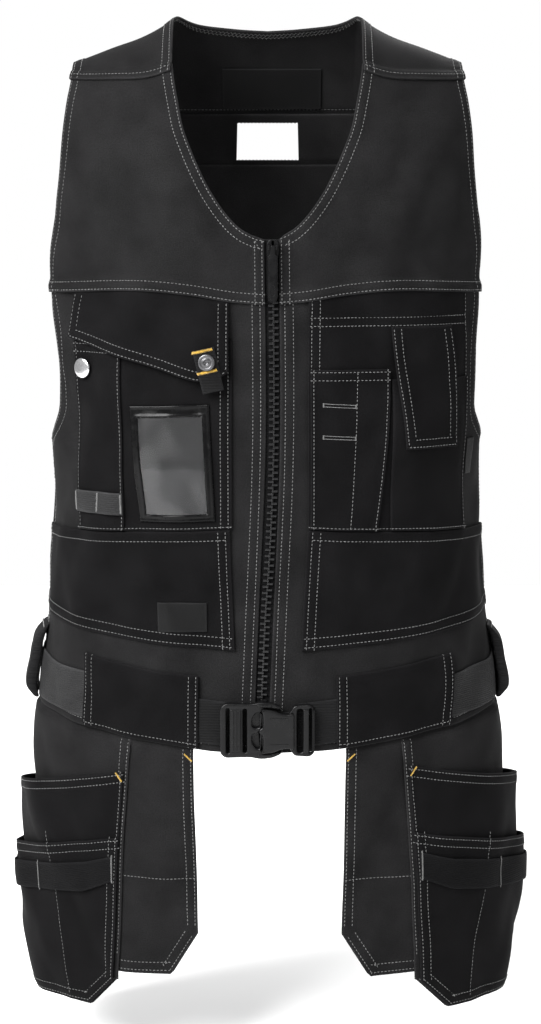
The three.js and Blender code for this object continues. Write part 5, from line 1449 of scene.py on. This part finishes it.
def add_belt():
    """Elastic round the back, and on each side webbing, the tunnel over it and a hanging loop."""
    top = lambda arc: belt_middle(arc) + BELT_HEIGHT / 2
    bottom = lambda arc: belt_middle(arc) - BELT_HEIGHT / 2

    def gathers(arc, height):
        beyond = np.abs(height - belt_middle(arc))
        return 0.12 * np.sin(arc / 0.7) * smooth_step((20 - beyond) / 3)
    band = Cloth("waist_elastic_cloth", always(BELT_JOIN_ARC + 0.5),
                 lambda height: 2 * half_arc(height) - BELT_JOIN_ARC - 0.5, top, bottom,
                 wall=WEBBING_WALL, inner=2.0, turned=0, noise=0.5, seed=91, step=1.5,
                 reliefs=(gathers,))
    dress(band, "waist_elastic", ELASTIC)
    for name, side in SIDES.items():
        web = Cloth(f"belt_web_{name}_cloth", always(27.0), always(BELT_JOIN_ARC), top, bottom,
                    side=side, wall=WEBBING_WALL, inner=2.0, turned=0, noise=0.4, seed=93 + side)
        dress(web, f"belt_web_{name}", WEBBING)
        tunnel_top = lambda arc: belt_middle(arc) + 40.0
        tunnel_bottom = shifted(hem_height, 1.0)

        def over(arc, height):
            down = (tunnel_top(arc) - height) / (tunnel_top(arc) - tunnel_bottom(arc))
            return lift(0) + 2.2 * limited(np.minimum(down / 0.24, (1 - down) / 0.07))
        tunnel = Cloth(f"tunnel_{name}_cloth", always(62.0), always(172.0), tunnel_top, tunnel_bottom,
                       side=side, wall=POCKET_WALL, inner=over, seed=95 + side, noise=0.8,
                       sewn={"start": (2.4, 9.0), "end": (2.4, 9.0), "top": (9.0,), "bottom": (4.0,)})
        dress(tunnel, f"tunnel_{name}", HEAVY_CANVAS)
        sew_edge(f"belt_{name}", tunnel, "start")
        sew_edge(f"belt_{name}", tunnel, "end")
        sew_edge(f"belt_{name}", tunnel, "bottom", 0.02, 0.98)
        middle = float(side_arc(-537.0))
        puffed = lambda height: curve_at(SIDE_LOOP_ROWS, (-537.0 - height) / 68.0)
        loop = Cloth(f"side_loop_{name}_cloth", always(middle - 20.0), always(middle + 20.0),
                     always(-537.0), always(-605.0), side=side, wall=2.4, turned=0, noise=0.15,
                     inner=lambda arc, height: lift(0) + 4.5 * puffed(height),
                     reliefs=(lambda arc, height: 7.5 * puffed(height),), seed=97 + side, step=1.6)
        dress(loop, f"side_loop_{name}", WEBBING)
        bartack(f"belt_{name}", loop, (middle - 18.0, -539.5), (middle + 18.0, -539.5), 3.0)


def add_holster(name, side, shift, flare, rim_lift, bag_shift):
    """A bag and a panel that hang below the hem, with two tool pockets and a row of loops."""
    below_hem = lambda height, span: limited((-height - HEM_DROP) / span)
    hang = HOLSTER_DROP - HEM_DROP
    swing = lambda height: flare * below_hem(height, hang)
    tuck = lambda arc, height: -1.9 * smooth_step((height - hem_height(arc) + 7.0) / 6.0)
    top = shifted(hem_height, 9.0)
    bag_start = lambda height: 67.0 + bag_shift - 5.0 * below_hem(height, BAG_DROP - HEM_DROP)
    bag_edge = float(bag_start(-BAG_DROP))
    bag_bottom = lambda arc: -BAG_DROP + 42.0 * limited(1 - (arc - bag_edge) / 26.0)
    bag = Cloth(f"holster_bag_{name}_cloth", bag_start, always(150.0), top, bag_bottom, side=side,
                inner=lambda arc, height: swing(height) + tuck(arc, height), seed=101 + side, noise=1.1,
                sewn={"start": (2.4, 9.4), "bottom": (3.4, 11.0)})
    dress(bag, f"holster_bag_{name}", CANVAS)
    group = f"holster_{name}"
    sew_edge(group, bag, "start", 0.05, 0.96)
    sew_edge(group, bag, "bottom", 0.03, 0.95)
    sew(group, bag, *straight((float(bag_start(-752.0)) + 1, -752.0), (149.0, -752.0)))
    panel_start = lambda height: 124.0 + shift + 14.0 * below_hem(height, hang) ** 0.7
    panel_end = lambda height: side_arc(height) + 45.0
    panel_edge = float(panel_start(-HOLSTER_DROP))
    panel_bottom = lambda arc: -HOLSTER_DROP + 30.0 * limited(1 - (arc - panel_edge) / 30.0)
    panel = Cloth(f"holster_panel_{name}_cloth", panel_start, panel_end, top, panel_bottom, side=side,
                  inner=lambda arc, height: 2.4 + swing(height) + tuck(arc, height) * 2.2,
                  seed=105 + side, noise=1.0,
                  sewn={"start": (2.2, 9.0), "end": (2.4, 9.4), "bottom": (2.4, 9.4)})
    dress(panel, f"holster_panel_{name}", CANVAS)
    sew_edge(group, panel, "start", 0.04, 0.9)
    sew_edge(group, panel, "end", 0.04, 0.99)
    sew_edge(group, panel, "bottom", 0.01, 0.99)
    rim = lambda drop: lambda arc: -drop + rim_lift - 32.0 * (arc - 130.0) / 155.0
    start, end = shifted(panel_start, 4.0), shifted(panel_end, -4.0)

    def stand_off(arc, height, down, amount):
        across = limited((arc - start(height)) / (end(height) - start(height)))
        return amount * np.sin(np.pi * across**2) * np.cos(np.pi / 2 * limited(down)) ** 0.6
    upper_top = rim(655.0)
    upper = Cloth(f"upper_tool_pocket_{name}_cloth", start, end, upper_top, shifted(upper_top, -84.0),
                  side=side, wall=POCKET_WALL, seed=109 + side, noise=0.9,
                  inner=lambda arc, height: 4.4 + swing(height) + stand_off(
                      arc, height, 0.75 * (upper_top(arc) - height) / 84.0, 11.5),
                  sewn={"top": (2.6, 9.4), "start": (2.4,), "end": (2.4,)})
    dress(upper, f"upper_tool_pocket_{name}", HEAVY_CANVAS)
    lower_top, lower_bottom = rim(715.0), shifted(panel_bottom, 2.0)
    lower_inner = lambda arc, height: 6.3 + swing(height) + stand_off(
        arc, height, (lower_top(arc) - height) / (lower_top(arc) - lower_bottom(arc)), 13.5)
    seam_low = mix(float(start(-800.0)), float(end(-800.0)), 0.27)
    seam_high = mix(float(start(-800.0)), float(end(-800.0)), 0.37)
    seam_at = lambda height: mix(seam_high, seam_low, limited((-height - 722.0) / 150.0))
    fold = lambda arc, height: 0.8 * np.exp(-((arc - seam_at(height)) / 4.5) ** 2)
    lower = Cloth(f"lower_tool_pocket_{name}_cloth", start, end, lower_top, lower_bottom, side=side,
                  wall=POCKET_WALL, seed=113 + side, noise=0.7, inner=lower_inner, reliefs=(fold,),
                  sewn={"top": (2.6, 9.4), "start": (2.4, 9.0), "end": (2.4, 9.0),
                        "bottom": (3.0, 10.2)})
    dress(lower, f"lower_tool_pocket_{name}", HEAVY_CANVAS)
    for cloth in (upper, lower):
        sew_edges(group, cloth)
    seam_height = np.linspace(-719.0, -872.0, 200)
    sew(group, lower, seam_at(seam_height), seam_height)
    along = lambda share: lambda arc: mix(lower_top(arc), lower_bottom(arc), share)
    loop_start, loop_end = shifted(start, 3.0), shifted(end, -10.0)
    cells = (0.0, 0.46, 0.74, 0.87, 1.0)

    def bow(arc, height):
        """Each cell between two bar tacks bows outwards."""
        share = limited((arc - loop_start(height)) / (loop_end(height) - loop_start(height)))
        rise = 0.0 * share
        for low, high in zip(cells, cells[1:]):
            within = limited((share - low) / (high - low))
            inside = (within > 0) * (within < 1)
            rise = rise + 3.6 * (high - low) ** 0.7 * np.sin(np.pi * within) * inside
        return rise
    loops = Cloth(f"tool_loops_{name}_cloth", loop_start, loop_end, along(0.125), along(0.3), side=side,
                  wall=POCKET_WALL, turned=0, noise=0.3, seed=117 + side, follow=lower,
                  inner=lambda arc, height: lower_inner(arc, height) + 2.1 + bow(arc, height))
    dress(loops, f"tool_loops_{name}", DARK_ELASTIC)
    for cell in cells:
        arc = mix(float(loop_start(-740.0)) + 1.5, float(loop_end(-740.0)) - 1.5, cell)
        bartack(group, loops, (arc, float(along(0.115)(arc))), (arc, float(along(0.31)(arc))), 1.6)
    corner = float(bag_start(-640.0))
    bartack(group, bag, (corner + 1.2, -643.0), (corner + 8.2, -636.5), 1.6, "yellow")
    corner = float(start(-662.0))
    top = float(upper_top(corner))
    bartack(group, upper, (corner + 0.8, top - 9.0), (corner + 6.8, top - 1.5), 1.9, "yellow")


STRAP = add_left_chest()
add_right_chest()
add_belt()
for side_name, side_sign in SIDES.items():
    add_lower_pocket(side_name, side_sign)
add_holster("left", -1, 0.0, 0.0, 0.0, 0.0)
add_holster("right", 1, -2.0, 7.0, 5.0, 4.0)


# Zip, buckle and metal parts
def place_at(arc, height):
    """One place on the worn shape, and the outward direction there."""
    place, normal = body_frame(np.array([float(arc)]), np.array([float(height)]))
    return place[0], normal[0]


def block(low, high, bevel, segments=2):
    """Vertices and faces of a box with rounded edges."""
    mesh = bmesh.new()
    bmesh.ops.create_cube(mesh, size=1.0)
    size = [b - a for a, b in zip(low, high)]
    for vertex in mesh.verts:
        vertex.co = Vector([a + s * (c + 0.5) for a, s, c in zip(low, size, vertex.co)])
    bmesh.ops.bevel(mesh, geom=mesh.edges[:], offset=bevel, segments=segments, profile=0.5,
                    affect="EDGES")
    return mesh_parts(mesh)


def mesh_parts(mesh):
    mesh.verts.index_update()
    vertices = np.array([vertex.co[:] for vertex in mesh.verts])
    faces = [[vertex.index for vertex in face.verts] for face in mesh.faces]
    mesh.free()
    return vertices, faces


def rounded(points, radius):
    """An outline with its corners rounded."""
    smooth = []
    count = len(points)
    for number, corner in enumerate(points):
        corner = np.array(corner, float)
        before = np.array(points[number - 1], float) - corner
        after = np.array(points[(number + 1) % count], float) - corner
        reach = min(radius, 0.45 * np.linalg.norm(before), 0.45 * np.linalg.norm(after))
        one = corner + reach * before / np.linalg.norm(before)
        two = corner + reach * after / np.linalg.norm(after)
        for share in (0, 0.25, 0.5, 0.75, 1):
            smooth.append((1 - share) ** 2 * one + 2 * share * (1 - share) * corner + share**2 * two)
    return smooth


def plate(outline, holes, front, back, bevel=0.8, radius=1.6):
    """A plate with rounded edges, drawn in x and z, from y = back to y = front (front is less)."""
    curve = bpy.data.curves.new("plate", "CURVE")
    curve.dimensions = "2D"
    curve.fill_mode = "BOTH"
    curve.extrude = (back - front) / 2 - bevel
    curve.bevel_depth = bevel
    curve.bevel_resolution = 2
    curve.offset = -bevel
    for points in (outline, *holes):
        corners = rounded(points, radius)
        spline = curve.splines.new("POLY")
        spline.points.add(len(corners) - 1)
        for point, (x, z) in zip(spline.points, corners):
            point.co = (x, z, 0, 1)
        spline.use_cyclic_u = True
    holder = bpy.data.objects.new("plate", curve)
    bpy.context.scene.collection.objects.link(holder)
    made = bpy.data.meshes.new_from_object(holder.evaluated_get(bpy.context.evaluated_depsgraph_get()))
    mesh = bmesh.new()
    mesh.from_mesh(made)
    bmesh.ops.remove_doubles(mesh, verts=mesh.verts, dist=0.01)
    vertices, faces = mesh_parts(mesh)
    bpy.data.objects.remove(holder)
    bpy.data.curves.remove(curve)
    bpy.data.meshes.remove(made)
    middle = (front + back) / 2
    return np.stack([vertices[:, 0], middle - vertices[:, 2], vertices[:, 1]], 1), faces


def joined(name, parts, material, origin=(0, 0, 0)):
    """One object from several closed forms."""
    vertices = []
    faces = []
    count = 0
    for places, cells in parts:
        vertices.append(places)
        faces += [[count + corner for corner in cell] for cell in cells]
        count += len(places)
    piece = new_object(name, np.concatenate(vertices) + np.asarray(origin), faces, material)
    add_edge_normals(piece)
    return piece


def add_edge_normals(piece):
    mesh = bmesh.new()
    mesh.from_mesh(piece.data)
    bmesh.ops.recalc_face_normals(mesh, faces=mesh.faces)
    mesh.to_mesh(piece.data)
    mesh.free()
    weighted = piece.modifiers.new("normals", "WEIGHTED_NORMAL")
    weighted.keep_sharp = True


def turned_form(profile, steps=48):
    """Vertices and faces of a profile of radius and height, turned round the height's axis."""
    angles = 2 * np.pi * np.arange(steps) / steps
    radius = np.array([point[0] for point in profile])[:, None]
    height = np.array([point[1] for point in profile])[:, None]
    vertices = np.stack([radius * np.cos(angles), radius * np.sin(angles), height + 0 * angles], 2)
    vertices = vertices.reshape(-1, 3)
    faces = []
    for ring in range(len(profile) - 1):
        for step in range(steps):
            after = (step + 1) % steps
            low = ring * steps
            faces.append([low + step, low + after, low + steps + after, low + steps + step])
    faces.append(list(range(steps))[::-1])
    faces.append([(len(profile) - 1) * steps + step for step in range(steps)])
    return vertices, faces


def seated(parts, arc, height, offset):
    """Moves forms whose base is z = 0 onto the worn shape, facing outwards."""
    place, normal = place_at(arc, height)
    turn = np.array(Vector((0, 0, 1)).rotation_difference(Vector(normal)).to_matrix())
    spot = place + normal * offset
    return [(vertices @ turn.T + spot, faces) for vertices, faces in parts]


def add_zip():
    """Both tapes, the chain of teeth, the slider and the pull tab at its hinge."""
    for name, side in SIDES.items():
        tape = Cloth(f"zip_tape_{name}_cloth", lambda height: side * zip_line(height) + 0.2,
                     lambda height: side * zip_line(height) + 16.4, always(TAPE_TOP),
                     always(-ZIP_END_DROP), side=side, wall=1.0, inner=-1.4, turned=0, noise=0.1,
                     seed=121 + side, step=2.2)
        dress(tape, f"zip_tape_{name}", ZIP_TAPE)
    tooth = [
        block((-4.4, -2.5, -0.95), (-0.2, -0.1, 0.95), 0.35),
        block((-1.2, -2.9, -1.2), (0.8, 0.1, 1.2), 0.45),
    ]
    parts = []
    for number in range(TOOTH_COUNT):
        height = FIRST_TOOTH - TOOTH_PITCH * number
        place, _ = place_at(zip_line(height), height)
        lean = float(zip_line(height + 4) - zip_line(height - 4)) / 8.0
        way = 1 if number % 2 else -1
        for vertices, faces in tooth:
            moved = vertices * (way, 1, 1)
            moved = moved + np.stack([moved[:, 2] * lean, 0 * moved[:, 2], -moved[:, 0] * lean], 1)
            parts.append((moved + place, faces if way > 0 else [face[::-1] for face in faces]))
    carry(joined("zip_teeth", parts, TEETH_PLASTIC), "zip_chain")

    place, _ = place_at(zip_line(SLIDER_MIDDLE), SLIDER_MIDDLE)
    origin = place - (0, 1.0, 0)
    body = rounded([(-3.9, -13), (3.9, -13), (5.3, -5), (5.3, 2.8), (3.2, 7), (-3.2, 7), (-5.3, 2.8),
                    (-5.3, -5)], 1.5)
    shapes = [
        plate(body, [], -5.0, -3.2, 0.7, 0.5),
        plate(body, [], -1.6, 0.0, 0.5, 0.5),
        block((-1.6, -5.0, 0.0), (1.6, 0.0, 6.6), 0.5),
        block((-4.2, -9.6, -2.0), (-2.5, -4.4, 2.0), 0.5),
        block((2.5, -9.6, -2.0), (4.2, -4.4, 2.0), 0.5),
    ]
    carry(joined("zip_slider_body", shapes, ZIP_METAL, origin), "zip_slider")

    hinge = origin - (0, 7.9, 0)
    outline = [(-2.0, 1.8), (2.0, 1.8), (2.1, -6), (4.3, -8.0), (4.3, -44), (2.6, -48), (-2.6, -48),
               (-4.3, -44), (-4.3, -8.0), (-2.1, -6)]
    raised = [(x * 0.72, -8.8 + (z + 8.0) * 0.94) for x, z in outline[3:9]]
    oval = [(1.9 * math.cos(turn), -38 + 5.0 * math.sin(turn))
            for turn in np.linspace(0, 2 * math.pi, 13)[:-1]]
    shapes = [
        plate(outline, [], -0.9, 0.9, 0.35, 1.6),
        plate(raised, [oval], -1.3, 0.5, 0.35, 1.2),
    ]
    carry(joined("zip_pull_tab", shapes, ZIP_METAL, hinge), "zip_pull", body="pull")


def mirrored(edge):
    """A closed outline from its upper edge and the same edge below."""
    return [(x, -z) for x, z in reversed(edge)] + edge


def add_buckle():
    """Both halves of the side-release buckle, drawn from the middle of the belt."""
    place, _ = place_at(0.0, -BELT_DROP)
    origin = place - (0, CLOTH_WALL + WEBBING_WALL + 3 * CLEARANCE, 0)
    male = mirrored([(-5.4, 20), (7, 20), (13.5, 18.6), (12, 21.5), (5, 25), (-6, 26.3), (-15, 24.3),
                     (-38, 25), (-42.5, 21)])
    slots = [
        rectangle(-37, -34, -20.5, 20.5),
        rectangle(-22, -18.5, -20, 20),
        [(-13.8, 2.4), (-6.6, 2.4), (-6.6, 16.5), (-10.0, 16.5), (-13.8, 11.5)],
        [(-13.8, -11.5), (-10.0, -16.5), (-6.6, -16.5), (-6.6, -2.4), (-13.8, -2.4)],
    ]
    shapes = [
        plate(male, slots, -8.0, 0.0, 1.4, 4.0),
        block((-33.0, -9.0, -19.5), (-23.5, -6.0, 19.5), 1.0),
        block((-15.0, -2.6, -20.0), (-1.0, -0.6, 20.0), 0.5),
        block((-7.0, -5.5, -14.6), (13.0, -2.9, 14.6), 0.6),
    ]
    for ridge in range(3):
        left = -31.6 + 2.9 * ridge
        shapes.append(block((left, -9.7, -18.0), (left + 1.4, -8.0, 18.0), 0.4))
    for way in (-1, 1):
        low, high = sorted((way * 21.2, way * 24.2))
        shapes.append(block((-9.0, -8.9, low), (4.0, -6.0, high), 0.9))
    piece = joined("buckle_male_form", shapes, BLACK_PLASTIC, origin)
    carry(piece, "buckle_male")

    frame_outline = [(19, -15.5), (21, -18), (24, -23), (38, -24), (42.5, -20), (42.5, 20), (38, 24),
                     (24, 23), (21, 18), (19, 15.5)]
    slots = [rectangle(26.5, 32, -20, 20), rectangle(37.5, 40, -20.5, 20.5)]
    bowed = mirrored([(24, 17), (18, 15.6), (12, 16.4), (5, 19.6), (-6, 20.4), (-4.2, 16.5), (-3.6, 9),
                      (-4.4, 3.6), (-7.4, 1.8)])
    shapes = [
        plate(frame_outline, slots, -8.0, 0.0, 1.4, 4.0),
        plate(bowed, [], -12.0, -8.2, 1.6, 4.0),
        plate(bowed, [], -2.0, 0.0, 0.7, 4.0),
        block((-3.0, -10.6, -18.0), (8.0, -1.0, -15.2), 0.8),
        block((-3.0, -10.6, 15.2), (8.0, -1.0, 18.0), 0.8),
        block((13.5, -10.6, -15.4), (24.0, -1.0, 15.4), 0.8),
        block((32.3, -9.4, -19.5), (37.2, -6.5, 19.5), 0.9),
    ]
    for way in (-1, 1):
        low, high = sorted((way * 11.2, way * 12.4))
        shapes.append(block((2.0, -12.5, low), (19.0, -11.0, high), 0.4))
    piece = joined("buckle_female_form", shapes, BLACK_PLASTIC, origin)
    carry(piece, "buckle_female")


def add_fasteners():
    """The snap on the flap's strap and the metal button that holds a knife's sheath."""
    strap_arc = 55.5 - 9.0 * (-SNAP_MIDDLE - 268.0) / 40.0
    offset = STRAP.offsets(np.array([strap_arc]), np.array([SNAP_MIDDLE]))[1][0] + 0.1
    ring = turned_form([(2.6, 0.0), (7.5, 0.0), (7.5, 0.7), (6.8, 1.5), (5.6, 1.5), (5.0, 1.1),
                        (3.9, 1.0), (3.5, 1.9), (2.9, 2.2), (2.4, 2.0), (2.2, 0.9), (0.8, 0.5)])
    snap = joined("snap_cap", seated([ring], -strap_arc, SNAP_MIDDLE, offset), DARK_METAL)
    carry(snap, "snap")
    swell = math.sin(math.pi * (170 - 31) / 155) * math.sin(math.pi * (290 - 274) / 163.0)
    offset = lift(2) - CLEARANCE + 4.0 * swell
    disc = turned_form([(3.2, 0.0), (3.0, 3.9), (8.6, 4.0), (9.0, 4.4), (9.0, 5.0), (8.5, 5.7),
                        (7.4, 6.15), (5.0, 6.5), (2.2, 6.65), (0.5, 6.7)])
    button = joined("knife_stud", seated([disc], -BUTTON_ARC, BUTTON_MIDDLE, offset), STEEL)
    carry(button, "knife_button")


add_zip()
add_buckle()
add_fasteners()

for (thread_group, thread_colour), stitches in THREADS.items():
    piece = stitches.build(f"thread_{thread_group}_{thread_colour}", THREAD_MATERIALS[thread_colour])
    if piece:
        carry(piece)


# Studio: the backdrop looks white, and lights the vest less than it looks
WORLD_LIGHT = 0.55
FLOOR_HEIGHT = -0.93
FLOOR_REACH = 2.5

scene = bpy.context.scene
scene.view_settings.view_transform = "Standard"
world = bpy.data.worlds.new("studio_light")
world.use_nodes = True
backdrop = world.node_tree.nodes["Background"]
backdrop.inputs["Color"].default_value = (1.0, 1.0, 1.0, 1.0)
seen = node_of(world.node_tree, "ShaderNodeLightPath").outputs["Is Camera Ray"]
world.node_tree.links.new(ramp(world.node_tree, seen, WORLD_LIGHT, 1.0), backdrop.inputs["Strength"])
scene.world = world

floor_mesh = bpy.data.meshes.new("floor")
corners = rectangle(-FLOOR_REACH, FLOOR_REACH, -FLOOR_REACH, FLOOR_REACH)
floor_mesh.from_pydata([(x, y, FLOOR_HEIGHT) for x, y in corners], [], [(0, 1, 2, 3)])
floor = bpy.data.objects.new("floor", floor_mesh)
scene.collection.objects.link(floor)
floor_material, _, floor_shader = shader_of("pale_floor", 0.9, 0.2)
floor_shader.inputs["Base Color"].default_value = (0.93, 0.93, 0.93, 1.0)
floor_mesh.materials.append(floor_material)


def add_light(name, energy, size, place, aim):
    data = bpy.data.lights.new(name, "AREA")
    data.energy = energy
    data.size = size
    light = bpy.data.objects.new(name, data)
    light.location = place
    light.rotation_euler = (Vector(aim) - Vector(place)).to_track_quat("-Z", "Y").to_euler()
    scene.collection.objects.link(light)


add_light("key", 330.0, 2.0, (-1.7, -1.9, 1.5), (0, 0, -0.35))
add_light("fill", 22.0, 1.6, (2.1, -1.5, 0.6), (0, 0, -0.4))
add_light("rim", 60.0, 1.4, (0.7, 2.0, 1.4), (0, 0, -0.3))

camera_data = bpy.data.cameras.new("camera")
camera_data.lens = 89.76
camera_data.sensor_width = 36.0
camera = bpy.data.objects.new("camera", camera_data)
camera.location = (0.0028, -2.37664, -0.09898)
camera.rotation_euler = (math.radians(82.0), 0.0, 0.0)
scene.collection.objects.link(camera)
scene.camera = camera
